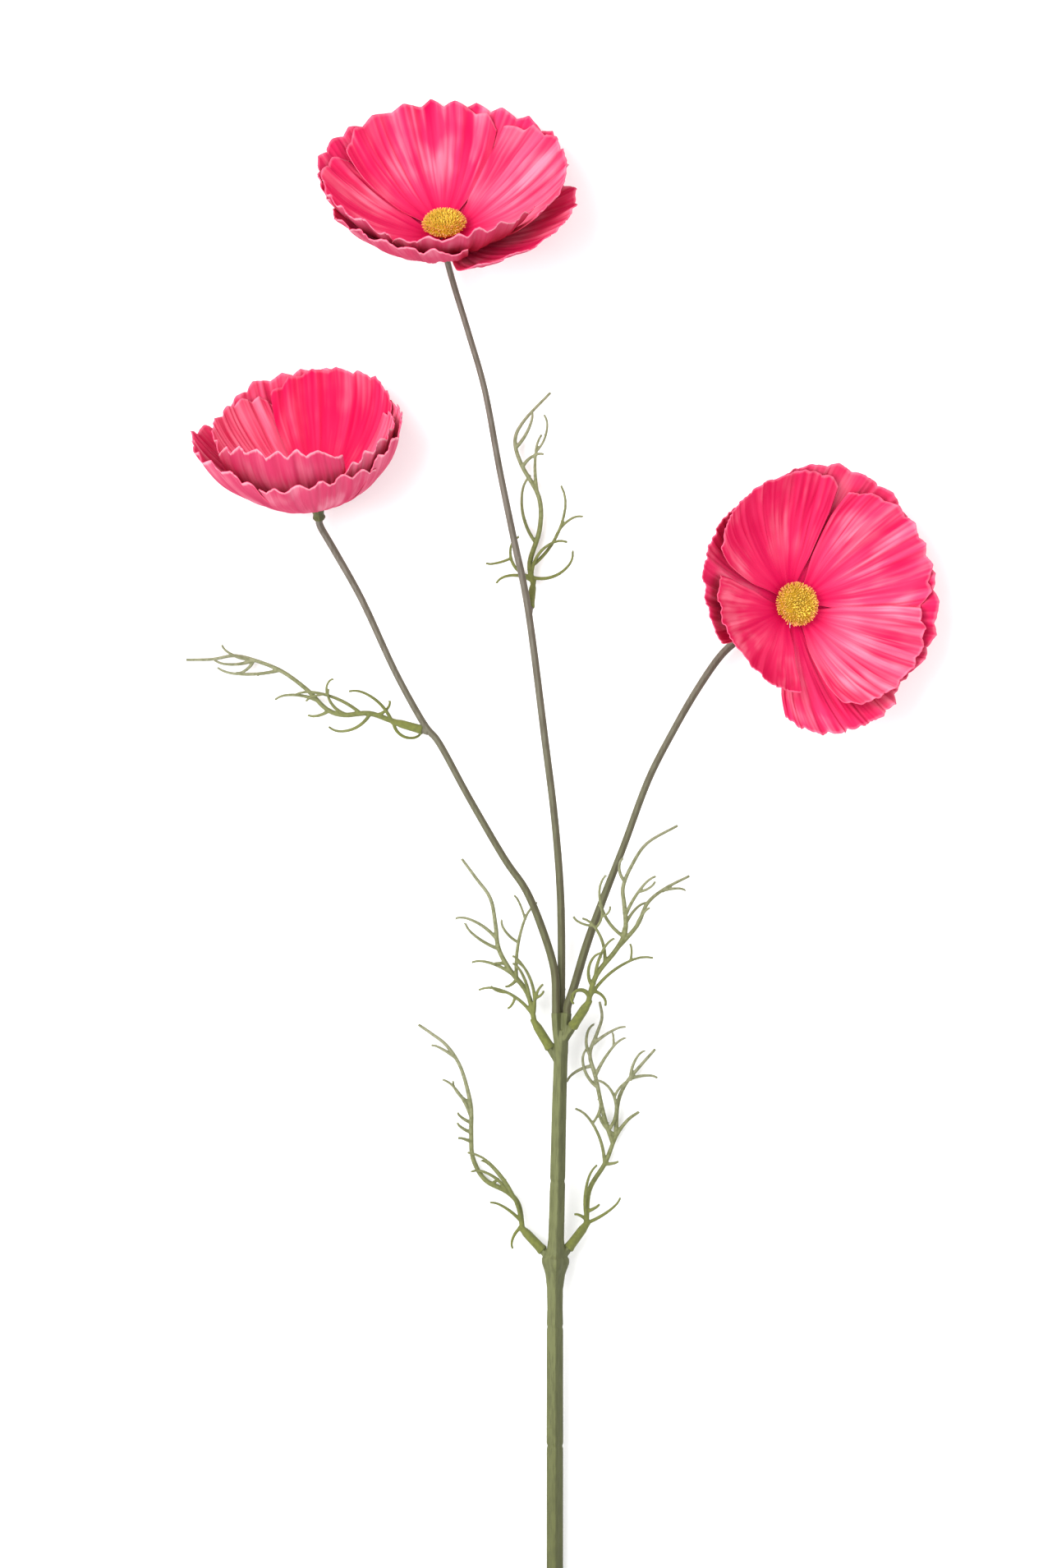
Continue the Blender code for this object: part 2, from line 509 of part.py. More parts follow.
# ---- whole spray -------------------------------------------------------------------------
def centre_on_origin(root, into):
    """Move the root so that the bottom centre of the spray is the origin."""
    bpy.context.view_layer.update()
    graph = bpy.context.evaluated_depsgraph_get()
    low, high = Vector((9, 9, 9)), Vector((-9, -9, -9))
    for obj in into.objects:
        if obj.type != "MESH":
            continue
        shaped = obj.evaluated_get(graph)
        mesh = shaped.to_mesh()
        for vert in mesh.vertices:
            place = obj.matrix_world @ vert.co
            low = Vector(map(min, low, place))
            high = Vector(map(max, high, place))
        shaped.to_mesh_clear()
    root.location = (-(low.x + high.x) / 2, -(low.y + high.y) / 2, -low.z)


def main():
    """Build every piece of the spray."""
    clear_scene()
    pieces, cutters = collection("cosmos_spray"), collection("cutters")
    root = bpy.data.objects.new("cosmos_root", None)
    pieces.objects.link(root)
    build_stem(pieces, cutters, root)
    for bloom in BLOOMS:
        build_branch(bloom, pieces, cutters, root)
        build_centre(bloom, pieces, cutters, root)
        for number, petal in enumerate(bloom.petals, 1):
            build_petal(bloom, petal, number, pieces, root)
    for leaf in LEAVES:
        build_leaf(leaf, pieces, cutters, root)
    centre_on_origin(root, pieces)


main()
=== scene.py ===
"""Looks of a made cosmos spray: pleated cloth blooms and feathery leaves on a moulded stem.

The spray lies on its back on a pale table.  +Y runs along the stem and +Z is up.  Lengths
are written in millimetres and turned to metres where a mesh or a node needs them.
"""
import logging
import math
from dataclasses import dataclass
from enum import Enum
from typing import Any, Dict, List, Optional, Sequence, Tuple

import bmesh
import bpy
import numpy as np
from mathutils import Matrix, Vector


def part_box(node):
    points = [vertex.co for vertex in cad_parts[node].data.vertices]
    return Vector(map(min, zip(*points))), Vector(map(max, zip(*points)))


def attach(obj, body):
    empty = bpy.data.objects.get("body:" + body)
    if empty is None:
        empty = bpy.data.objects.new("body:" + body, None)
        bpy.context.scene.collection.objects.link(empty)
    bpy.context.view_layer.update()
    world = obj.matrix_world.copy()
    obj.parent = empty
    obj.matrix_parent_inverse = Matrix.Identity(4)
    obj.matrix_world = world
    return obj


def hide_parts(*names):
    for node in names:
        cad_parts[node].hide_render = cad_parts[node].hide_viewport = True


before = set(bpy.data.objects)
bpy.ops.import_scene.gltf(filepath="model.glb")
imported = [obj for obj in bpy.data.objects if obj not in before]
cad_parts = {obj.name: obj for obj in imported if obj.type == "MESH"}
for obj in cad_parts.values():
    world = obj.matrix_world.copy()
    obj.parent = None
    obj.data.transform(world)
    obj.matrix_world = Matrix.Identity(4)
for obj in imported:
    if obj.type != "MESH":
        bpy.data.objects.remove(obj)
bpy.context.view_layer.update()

LOG = logging.getLogger("cosmos_spray")
MM = 0.001
BODY = "root"

# Where the steel wire lies in the spray's own measure: it ties that measure to the frame.
CUT_END = Vector((0.0, -70.0, 2.65))
STEM_AIM = Vector((0.0, 1.0, 0.036)).normalized()
WIRE_MIDDLE = 30.2
WIRE_HOLE_LONG = 61.0
WIRE_HOLE_RADIUS = 1.15

CLAW_RADIUS = 2.1        # where a petal starts, out from the bloom's axis
PETAL_RUN = 50.0         # length over which the bowl turns from base angle to tip angle
LAYER_BASE = 0.9         # inner ring above the outer ring, at the claws
LAYER_RIM = 2.8          # and at the rim
CLAW_WIDTH = 0.74        # a petal's width at the claw, as a share of its widest
RIM_NARROWING = 0.2      # how fast it narrows again near the rim
CORNER_DROP = 0.13       # how much shorter it is at its corners, as a share
TOOTH_POINT = 0.58       # where the point of a tooth lies across the tooth
BRISTLE_RADIUS = 0.42    # radius of a tuft, as a share of its thickness
DOME_SIDES = 48          # flat sides of the dome under the tufts

CALYX_TOP = -0.65        # rim of the calyx, along the bloom's axis from its seat
CALYX_LONG = 6.0


class Slot(Enum):
    """Finish slots of the spray's record."""
    PETAL = "petal"
    DISC = "disc"
    CALYX = "calyx"
    STEM = "stem"
    BRANCH = "branch"
    LEAF = "leaf"


class Ring(Enum):
    """The two rings of petals in a bloom."""
    INNER = 1.0
    OUTER = -1.0


# ---- small tools ---------------------------------------------------------------------------
def linear(code: str) -> Tuple[float, float, float, float]:
    """Turn an sRGB hex colour to linear RGBA.

    Args:
        code: six hex digits with a leading hash.

    Returns:
        The linear red, green, blue and alpha.
    """
    parts = [int(code[i:i + 2], 16) / 255.0 for i in (1, 3, 5)]
    made = [c / 12.92 if c <= 0.04045 else ((c + 0.055) / 1.055) ** 2.4 for c in parts]
    return (made[0], made[1], made[2], 1.0)


def add_node(tree: bpy.types.NodeTree, kind: str, inputs: Optional[Dict[Any, Any]] = None,
             **settings: Any) -> bpy.types.Node:
    """Add one node with its settings and links.

    Args:
        tree: the tree that gets the node.
        kind: the node's type name.
        inputs: for each socket, by name or number, a value or what feeds it.
        settings: the node's own properties.

    Returns:
        The new node.
    """
    node = tree.nodes.new(kind)
    for name, value in settings.items():
        setattr(node, name, value)
    for key, value in (inputs or {}).items():
        if isinstance(value, Field):
            value = value.socket
        if isinstance(value, bpy.types.NodeSocket):
            tree.links.new(value, node.inputs[key])
        else:
            node.inputs[key].default_value = value
    return node


@dataclass(frozen=True)
class Field:
    """A number that a node tree works out at every point, used like a number in formulas."""
    tree: bpy.types.NodeTree
    socket: bpy.types.NodeSocket

    def do(self, operation: str, *others: Any) -> "Field":
        """Return the result of a named math operation on this number and others."""
        feeds = dict(enumerate((self,) + others))
        node = add_node(self.tree, "ShaderNodeMath", feeds, operation=operation)
        return Field(self.tree, node.outputs[0])

    def __add__(self, other: Any) -> "Field":
        """Return this number plus another."""
        return self.do("ADD", other)

    def __sub__(self, other: Any) -> "Field":
        """Return this number less another."""
        return self.do("SUBTRACT", other)

    def __rsub__(self, other: Any) -> "Field":
        """Return another number less this one."""
        return self.do("MULTIPLY_ADD", -1.0, other)

    def __mul__(self, other: Any) -> "Field":
        """Return this number times another."""
        return self.do("MULTIPLY", other)

    def __truediv__(self, other: Any) -> "Field":
        """Return this number over another."""
        return self.do("DIVIDE", other)

    def __pow__(self, other: Any) -> "Field":
        """Return this number to a power."""
        return self.do("POWER", other)

    __radd__ = __add__
    __rmul__ = __mul__

    def step(self, low: float, high: float) -> "Field":
        """Return 0 below low and 1 above high, with a smooth rise between them."""
        share = ((self - low) / (high - low)).do("MAXIMUM", 0.0).do("MINIMUM", 1.0)
        return share * share * (3.0 - 2.0 * share)


def new_tree(name: str, inputs: Sequence[Tuple[str, str]]) -> Tuple[bpy.types.NodeTree,
                                                                     Dict[str, Field]]:
    """Start a geometry node tree with named inputs.

    Args:
        name: the tree's name.
        inputs: pairs of input name and socket type.

    Returns:
        The tree, and each input by its name.
    """
    tree = bpy.data.node_groups.new(name, "GeometryNodeTree")
    tree.interface.new_socket("Geometry", in_out="OUTPUT", socket_type="NodeSocketGeometry")
    for label, kind in (("Geometry", "NodeSocketGeometry"),) + tuple(inputs):
        tree.interface.new_socket(label, in_out="INPUT", socket_type=kind)
    given = add_node(tree, "NodeGroupInput")
    return tree, {s.name: Field(tree, s) for s in given.outputs if s.name}


def add_tree(obj: bpy.types.Object, tree: bpy.types.NodeTree, values: Dict[str, Any]) -> None:
    """Put a geometry node tree on an object.

    Args:
        obj: the object.
        tree: the tree.
        values: a value for each named input.
    """
    mod = obj.modifiers.new("nodes", "NODES")
    mod.node_group = tree
    for item in tree.interface.items_tree:
        if item.in_out == "INPUT" and item.name in values:
            mod[item.identifier] = values[item.name]


def evaluated_mesh(obj: bpy.types.Object) -> bpy.types.Mesh:
    """Return a new mesh that has an object's modifiers applied."""
    bpy.context.view_layer.update()
    graph = bpy.context.evaluated_depsgraph_get()
    return bpy.data.meshes.new_from_object(obj.evaluated_get(graph))


def settle(obj: bpy.types.Object) -> None:
    """Replace an object's mesh by its evaluated one, and remove its modifiers."""
    made = evaluated_mesh(obj)
    obj.modifiers.clear()
    made.name = obj.name
    obj.data = made


def new_object(name: str, mesh: Optional[bpy.types.Mesh] = None) -> bpy.types.Object:
    """Link a new mesh object to the scene and return it."""
    obj = bpy.data.objects.new(name, mesh or bpy.data.meshes.new(name))
    bpy.context.scene.collection.objects.link(obj)
    return obj


def smooth_shade(obj: bpy.types.Object) -> None:
    """Shade every face of an object smoothly."""
    obj.data.polygons.foreach_set("use_smooth", [True] * len(obj.data.polygons))


def hand_over(obj: bpy.types.Object, node: str) -> None:
    """Let a finished piece ride on the body and stand for its CAD node.

    Args:
        obj: the finished piece.
        node: the CAD node that it stands for.
    """
    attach(obj, BODY)
    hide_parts(node)
    LOG.info("%s: %d faces, stands for %s", obj.name, len(obj.data.polygons), node)


def spray_shift() -> Vector:
    """Return the move from the spray's own measure to the frame, in metres."""
    low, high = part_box("core_wire")
    return (low + high) / 2 - (CUT_END + STEM_AIM * WIRE_MIDDLE) * MM


SHIFT = spray_shift()


# ---- finishes ------------------------------------------------------------------------------
@dataclass(frozen=True)
class Finish:
    """Base of every finish: one Principled surface with typical values for its stuff."""
    name: str
    roughness: float = 0.7
    specular: float = 0.3
    metallic: float = 0.0
    sheen: float = 0.0

    def start(self) -> Tuple[bpy.types.Material, bpy.types.NodeTree, bpy.types.Node]:
        """Return a new material, its tree and its surface shader with the plain values set."""
        made = bpy.data.materials.new(self.name)
        made.use_nodes = True
        tree = made.node_tree
        shader = tree.nodes["Principled BSDF"]
        shader.inputs["Roughness"].default_value = self.roughness
        shader.inputs["Specular IOR Level"].default_value = self.specular
        shader.inputs["Metallic"].default_value = self.metallic
        shader.inputs["Sheen Weight"].default_value = self.sheen
        return made, tree, shader

    @staticmethod
    def paint(tree: bpy.types.NodeTree, shader: bpy.types.Node, ground: str,
              coats: Sequence[Tuple[Any, str]]) -> None:
        """Lay coats of colour over a ground, and give the result to the surface.

        Args:
            tree: the material's tree.
            shader: its surface shader.
            ground: hex colour of the ground.
            coats: pairs of cover, from 0 to 1, and hex colour, from the lowest coat up.
        """
        body = linear(ground)
        for share, tint in coats:
            body = add_node(tree, "ShaderNodeMix", {0: share, 6: body, 7: linear(tint)},
                            data_type="RGBA").outputs[2]
        tree.links.new(body, shader.inputs["Base Color"])


@dataclass(frozen=True)
class PetalCloth(Finish):
    """Printed polyester petal cloth, hot-pressed into pleats.

    The print is deep at the claw, mid pink over the middle and pale in soft patches; the
    press leaves fine veins from claw to rim.  Painted shade lies in darker streaks, as in small
    pleat valleys, and in the pleats' grooves; each petal also gets a painted highlight or painted
    shade of its own.
    """
    deep_and_shade: str = "#cb0a4a"
    middle: str = "#e83a6b"
    light: str = "#f98ca5"
    valley_shade: str = "#c4124e"
    rim: str = "#f39bb0"
    patches: float = 0.85
    crease_shade: float = 0.9
    rim_share: float = 0.25
    veins: float = 38.0

    def make(self) -> bpy.types.Material:
        """Return the material of one side of the cloth."""
        made, tree, shader = self.start()
        uv = add_node(tree, "ShaderNodeUVMap", uv_map="UVMap").outputs[0]
        along = Field(tree, add_node(tree, "ShaderNodeSeparateXYZ", {0: uv}).outputs[1])
        pleat = Field(tree, add_node(tree, "ShaderNodeAttribute",
                                     attribute_name="pleat").outputs["Fac"])
        tone = Field(tree, add_node(tree, "ShaderNodeAttribute",
                                    attribute_name="tone").outputs["Fac"])
        layers = []
        for scale, detail in (((self.veins, 1.4, 1.0), 3.0), ((9.0, 1.1, 1.0), 2.0),
                              ((3.2, 2.2, 1.0), 2.0)):
            drawn = add_node(tree, "ShaderNodeMapping", {"Vector": uv, "Scale": scale})
            layers.append(Field(tree, add_node(tree, "ShaderNodeTexNoise", {
                "Vector": drawn.outputs[0], "Scale": 1.0, "Detail": detail}).outputs[0]))
        vein, fan, patch = layers
        rise = (along + (fan - 0.5) * 0.5).step(0.05, 0.5)
        self.paint(tree, shader, self.deep_and_shade, (
            (rise, self.middle),
            ((patch * 0.6 + fan * 0.4 + (vein - 0.5) * 0.25).step(0.46, 0.66)
             * along.step(0.2, 0.6) * self.patches, self.light),
            # Painted shade: darker streaks where the noise is low, as in small pleat valleys.
            ((0.5 - fan).step(0.02, 0.2) * 0.5, self.valley_shade),
            ((0.5 - vein).step(0.02, 0.25) * 0.22, self.valley_shade),
            # Painted highlight where a petal's painted light is above 0, painted shade where it is
            # below 0.
            (tone.do("MAXIMUM", 0.0) * (0.7 + (vein - 0.5) * 1.2) * along.step(0.15, 0.5),
             self.light),
            ((tone * -1.0).do("MAXIMUM", 0.0) * (0.75 + (fan - 0.5) * 1.6), self.deep_and_shade),
            # Painted shade: the cloth darkens along the pleats' grooves, by the stored groove
            # depth.
            (pleat * self.crease_shade, self.deep_and_shade),
            ((along + (vein - 0.5) * 0.04).step(0.97, 0.998) * self.rim_share, self.rim)))
        weave = add_node(tree, "ShaderNodeTexCoord")
        # Threads 0.12 mm apart are too fine to show, so the weave is drawn at 0.4 mm.
        threads = Field(tree, add_node(tree, "ShaderNodeTexNoise", {
            "Vector": weave.outputs["Object"], "Scale": 2500.0, "Detail": 2.0}).outputs[0])
        bump = add_node(tree, "ShaderNodeBump", {"Strength": 0.4, "Distance": 0.2 * MM,
                                                 "Height": vein * 0.8 + threads * 0.2})
        tree.links.new(bump.outputs[0], shader.inputs["Normal"])
        return made


@dataclass(frozen=True)
class CutEdge(Finish):
    """Cut edge of the petal cloth: the undyed heart of the threads shows pale."""
    dyed: str = "#e8406c"
    frayed: str = "#f0708f"

    def make(self) -> bpy.types.Material:
        """Return the cut edge's material."""
        made, tree, shader = self.start()
        place = add_node(tree, "ShaderNodeTexCoord")
        fray = add_node(tree, "ShaderNodeTexNoise", {"Vector": place.outputs["Object"],
                                                     "Scale": 900.0, "Detail": 3.0})
        self.paint(tree, shader, self.dyed, ((fray.outputs[0], self.frayed),))
        return made


@dataclass(frozen=True)
class Flock(Finish):
    """Dyed fibre tufts of a bloom's centre: short, dull and uneven in colour."""
    low: str = "#c79a20"
    high: str = "#fbe052"
    tip: str = "#e8a660"

    def make(self) -> bpy.types.Material:
        """Return the tufts' material, with one shade for each tuft."""
        made, tree, shader = self.start()
        shade = add_node(tree, "ShaderNodeAttribute", attribute_name="shade").outputs["Fac"]
        rim = add_node(tree, "ShaderNodeAttribute", attribute_name="rim").outputs["Fac"]
        blush = Field(tree, rim) * Field(tree, shade).step(0.35, 0.8)
        self.paint(tree, shader, self.low, ((shade, self.high), (blush, self.tip)))
        place = add_node(tree, "ShaderNodeTexCoord")
        fibre = add_node(tree, "ShaderNodeTexNoise", {"Vector": place.outputs["Object"],
                                                      "Scale": 4000.0, "Detail": 2.0})
        bump = add_node(tree, "ShaderNodeBump", {"Strength": 0.5, "Distance": 0.1 * MM,
                                                 "Height": fibre.outputs[0]})
        tree.links.new(bump.outputs[0], shader.inputs["Normal"])
        return made


@dataclass(frozen=True)
class Moulded(Finish):
    """Soft polyethylene moulded over wire, with a stain brushed on.

    The body colour turns to another one towards the far end.  The stain stays in the grain.  The
    side that faces +X, away from the key light, is darkened with the stain colour as painted
    shade.
    """
    body: str = "#6f7449"
    stain_and_shade: str = "#4b4c30"
    far: str = "#6f7449"
    reach: Tuple[float, float] = (0.0, 1.0)
    grain: float = 0.9
    stain_share: float = 0.55
    side_shade: float = 0.75
    by_attribute: bool = False

    def make(self) -> bpy.types.Material:
        """Return the moulded material."""
        made, tree, shader = self.start()
        place = add_node(tree, "ShaderNodeTexCoord").outputs["Object"]
        if self.by_attribute:
            run = Field(tree, add_node(tree, "ShaderNodeAttribute",
                                       attribute_name="reach").outputs["Fac"])
            turn = (1.0, 1.0, 1.0)
        else:
            parts = add_node(tree, "ShaderNodeSeparateXYZ", {0: place})
            run = Field(tree, parts.outputs[1])
            turn = (1.0, 0.16, 1.0)
        scale = 1.0 / (self.grain * MM)
        drawn = add_node(tree, "ShaderNodeMapping", {
            "Vector": place, "Scale": tuple(scale * t for t in turn)})
        grain = Field(tree, add_node(tree, "ShaderNodeTexNoise", {
            "Vector": drawn.outputs[0], "Scale": 1.0, "Detail": 4.0}).outputs[0])
        cloud = Field(tree, add_node(tree, "ShaderNodeTexNoise", {
            "Vector": place, "Scale": 90.0, "Detail": 2.0}).outputs[0])
        away = (run + (cloud - 0.5) * 0.1 * (self.reach[1] - self.reach[0])).step(*self.reach)
        worn = (grain * 0.7 + cloud * 0.3).step(0.42, 0.62) * self.stain_share
        # Painted shade: the side that faces +X, away from the key light, gets the stain colour.
        side = Field(tree, add_node(tree, "ShaderNodeAttribute",
                                    attribute_name="side").outputs["Fac"])
        away_shade = (side + (grain - 0.5) * 0.15).step(-0.05, 0.3) * self.side_shade
        self.paint(tree, shader, self.body,
                   ((away, self.far), (worn, self.stain_and_shade), (away_shade, self.stain_and_shade)))
        tree.links.new((grain * 0.2 + (self.roughness - 0.1)).socket,
                       shader.inputs["Roughness"])
        bump = add_node(tree, "ShaderNodeBump", {"Strength": 0.5, "Distance": 0.15 * MM,
                                                 "Height": grain})
        tree.links.new(bump.outputs[0], shader.inputs["Normal"])
        return made


@dataclass(frozen=True)
class DrawnSteel(Finish):
    """Drawn steel wire: bright metal with fine lines along it."""
    dull: str = "#8d8d8b"
    bright: str = "#c4c3bf"

    def make(self) -> bpy.types.Material:
        """Return the wire's material."""
        made, tree, shader = self.start()
        place = add_node(tree, "ShaderNodeTexCoord")
        lines = add_node(tree, "ShaderNodeMapping", {"Vector": place.outputs["Object"],
                                                     "Scale": (4000.0, 120.0, 4000.0)})
        noise = add_node(tree, "ShaderNodeTexNoise", {"Vector": lines.outputs[0],
                                                      "Scale": 1.0, "Detail": 3.0})
        self.paint(tree, shader, self.dull, ((noise.outputs[0], self.bright),))
        return made


FRONT = PetalCloth("petal_cloth_printed_front", 0.8, 0.04)
BACK = PetalCloth("petal_cloth_printed_back", 0.8, 0.04, deep_and_shade="#bb1c4c",
                  middle="#c84c6d", light="#d88196", valley_shade="#ad2c50", rim="#e9b0bc",
                  rim_share=0.6, crease_shade=0.5)
EDGE = CutEdge("petal_cloth_cut_edge", 0.9, 0.04)
TUFT = Flock("flocked_fibre_tufts", 0.85, 0.15, sheen=0.2)
DOME = Moulded("flocked_centre_ground", 0.9, 0.1, body="#c09a22", stain_and_shade="#a08520",
               far="#c09a22", grain=0.6)
STEM_GREEN = Moulded("polyethylene_moulded_stem", 0.6, 0.3, body="#555930", stain_and_shade="#3d3f25",
                     far="#696d45", reach=(-0.26, -0.10), stain_share=0.4,
                     side_shade=0.6)
BRANCH_GREEN = Moulded("polyethylene_moulded_branch", 0.6, 0.3, body="#5c5d3e",
                       stain_and_shade="#453d2e", far="#6f695f", reach=(-0.02, 0.14), stain_share=0.4,
                       side_shade=0.5)
LEAF_GREEN = Moulded("soft_polyethylene_leaf", 0.8, 0.2, sheen=0.1, body="#6c7136",
                     stain_and_shade="#565a34", far="#8e8e74", reach=(0.0, 1.0), grain=1.2,
                     stain_share=0.5, side_shade=0.35, by_attribute=True)
CALYX_GREEN = Moulded("polyethylene_moulded_calyx", 0.6, 0.3, body="#5c6038",
                      stain_and_shade="#3e4026", far="#5c6038", grain=0.7)
WIRE_STEEL = DrawnSteel("drawn_steel_wire", 0.35, 0.5, metallic=1.0)


# ---- petals --------------------------------------------------------------------------------
@dataclass(frozen=True)
class Petal:
    """One petal, in its bloom's own frame.

    The azimuth and the spread, which is half the petal's width, are in degrees.  The lift is
    how far its rim stands off from its ring.  The last field is painted light: above 0 the petal
    gets a painted highlight, paler pink, and below 0 painted shade, deeper pink.
    """
    azimuth: float
    ring: Ring
    length: float
    spread: float
    lift: float = 0.0
    tone: float = 0.0


def petal_tree() -> bpy.types.NodeTree:
    """Build the tree that shapes one petal as a sheet, in its bloom's own frame.

    Returns:
        The tree; its named inputs are the petal's and the bowl's sizes.
    """
    floats = ("Azimuth", "Ring", "Length", "Spread", "Lift", "Base angle", "Tip angle",
              "Base swing", "Tip swing", "Swing at", "Teeth", "Tooth", "Pleat", "Crease",
              "Wave", "Skew", "Painted light", "Seed")
    tree, given = new_tree("pressed_petal", [("Columns", "NodeSocketInt"),
                                             ("Rows", "NodeSocketInt")]
                           + [(name, "NodeSocketFloat") for name in floats]
                           + [("Cloth", "NodeSocketMaterial")])
    sheet = add_node(tree, "GeometryNodeMeshGrid", {
        "Size X": 2.0, "Size Y": 1.0, "Vertices X": given["Columns"],
        "Vertices Y": given["Rows"]})
    place = add_node(tree, "ShaderNodeSeparateXYZ",
                     {0: add_node(tree, "GeometryNodeInputPosition").outputs[0]})
    across = Field(tree, place.outputs[0])
    up = Field(tree, place.outputs[1]) + 0.5
    seed = given["Seed"]

    def uneven(x: Any, y: Any, z: Any) -> Field:
        """Return a smooth unevenness from about -1 to 1 that depends on three numbers."""
        spot = add_node(tree, "ShaderNodeCombineXYZ", {0: x, 1: y, 2: z})
        rough = add_node(tree, "ShaderNodeTexNoise", {"Vector": spot.outputs[0],
                                                      "Scale": 1.0, "Detail": 1.0})
        return (Field(tree, rough.outputs[0]) - 0.5) * 2.4

    # Teeth: slanted points of uneven width and height.
    count = (across + 1.0) * given["Teeth"] * 0.5 + uneven(across * 1.9, seed, 0.3) * 0.42
    part = count.do("FRACT")
    tooth = (part / TOOTH_POINT).do("MINIMUM", (1.0 - part) / (1.0 - TOOTH_POINT)) ** 0.85
    height = given["Tooth"] * (1.0 + uneven(count.do("FLOOR") * 3.7, seed, 7.1) * 0.7)
    near_rim = (up - 0.6).do("MAXIMUM", 0.0) ** 2.0 / 0.16
    bare = across.do("ABSOLUTE")
    run = given["Length"] * up * (1.0 - CORNER_DROP * bare ** 3.2) \
        + height * (tooth - 0.5) * near_rim
    ease = (up / 0.4).do("MINIMUM", 1.0)
    width = CLAW_WIDTH + (1.0 - CLAW_WIDTH) * (ease * ease * (3.0 - 2.0 * ease)) \
        - RIM_NARROWING * (up - 0.75).do("MAXIMUM", 0.0)
    turn = given["Azimuth"] + across * given["Spread"] * width
    phi = turn.do("RADIANS")
    swing = (phi - given["Swing at"].do("RADIANS")).do("COSINE")
    first = (given["Base angle"] + given["Base swing"] * swing).do("RADIANS")
    last = (given["Tip angle"] + given["Tip swing"] * swing).do("RADIANS")
    bend = (last - first) / PETAL_RUN
    slope = first + bend * run
    out = CLAW_RADIUS + (slope.do("SINE") - first.do("SINE")) / bend
    rise = (first.do("COSINE") - slope.do("COSINE")) / bend
    share = run / PETAL_RUN
    inner = (given["Ring"] + 1.0) * 0.5
    off = inner * (LAYER_BASE + (LAYER_RIM - LAYER_BASE) * share)
    off = off + given["Ring"] * given["Lift"] * share * share
    # Each petal lies over its neighbour on one side and under it on the other.
    off = off + across * given["Skew"] * share
    # Pleats follow the teeth; creases between them are uneven and fade towards the claw.
    fold = (part * math.tau).do("COSINE") * -1.0
    broad = uneven(across * 4.2, up * 0.8, seed)
    line = uneven(across * 8.5, up * 0.5, seed + 0.5).do("ABSOLUTE")
    groove = (1.0 - line.step(0.0, 0.34)) * (0.75 + uneven(across * 3.0, up * 2.2, seed) * 0.6)
    fade = share.step(0.08, 0.7)
    ridge = fold * given["Pleat"] * share ** 1.8 \
        + (broad * 0.8 - groove) * given["Crease"] * fade
    wave = uneven(phi.do("COSINE") * 1.9, phi.do("SINE") * 1.9, up * 0.9) * given["Wave"] \
        * share ** 2.5
    ruffle = uneven(across * 6.5, seed, 2.3) * given["Wave"] * 0.55 * share ** 4.0
    off = off + ridge + wave + ruffle
    out = out - off * slope.do("SINE")
    spot = add_node(tree, "ShaderNodeCombineXYZ", {
        0: out * phi.do("COSINE") * MM, 1: out * phi.do("SINE") * MM,
        2: (rise + off * slope.do("COSINE")) * MM})
    marked = sheet.outputs["Mesh"]
    # Stored for the cloth: how deep each groove is, for painted shade in the grooves, and the
    # petal's painted highlight or painted shade.
    for name, value in (("pleat", (groove * fade).do("MAXIMUM", 0.0)), ("tone", given["Painted light"])):
        marked = add_node(tree, "GeometryNodeStoreNamedAttribute", {
            "Geometry": marked, "Name": name, "Value": value},
            data_type="FLOAT", domain="POINT").outputs[0]
    print_map = add_node(tree, "ShaderNodeCombineXYZ", {
        0: (across + 1.0) * 0.5 + seed * 3.0, 1: up})
    mapped = add_node(tree, "GeometryNodeStoreNamedAttribute", {
        "Geometry": marked, "Name": "UVMap", "Value": print_map.outputs[0]},
        data_type="FLOAT2", domain="CORNER")
    moved = add_node(tree, "GeometryNodeSetPosition", {"Geometry": mapped.outputs[0],
                                                       "Position": spot.outputs[0]})
    real = add_node(tree, "GeometryNodeRealizeInstances", {"Geometry": moved.outputs[0]})
    dressed = add_node(tree, "GeometryNodeSetMaterial", {"Geometry": real.outputs[0],
                                                         "Material": given["Cloth"]})
    add_node(tree, "NodeGroupOutput", {"Geometry": dressed.outputs[0]})
    return tree


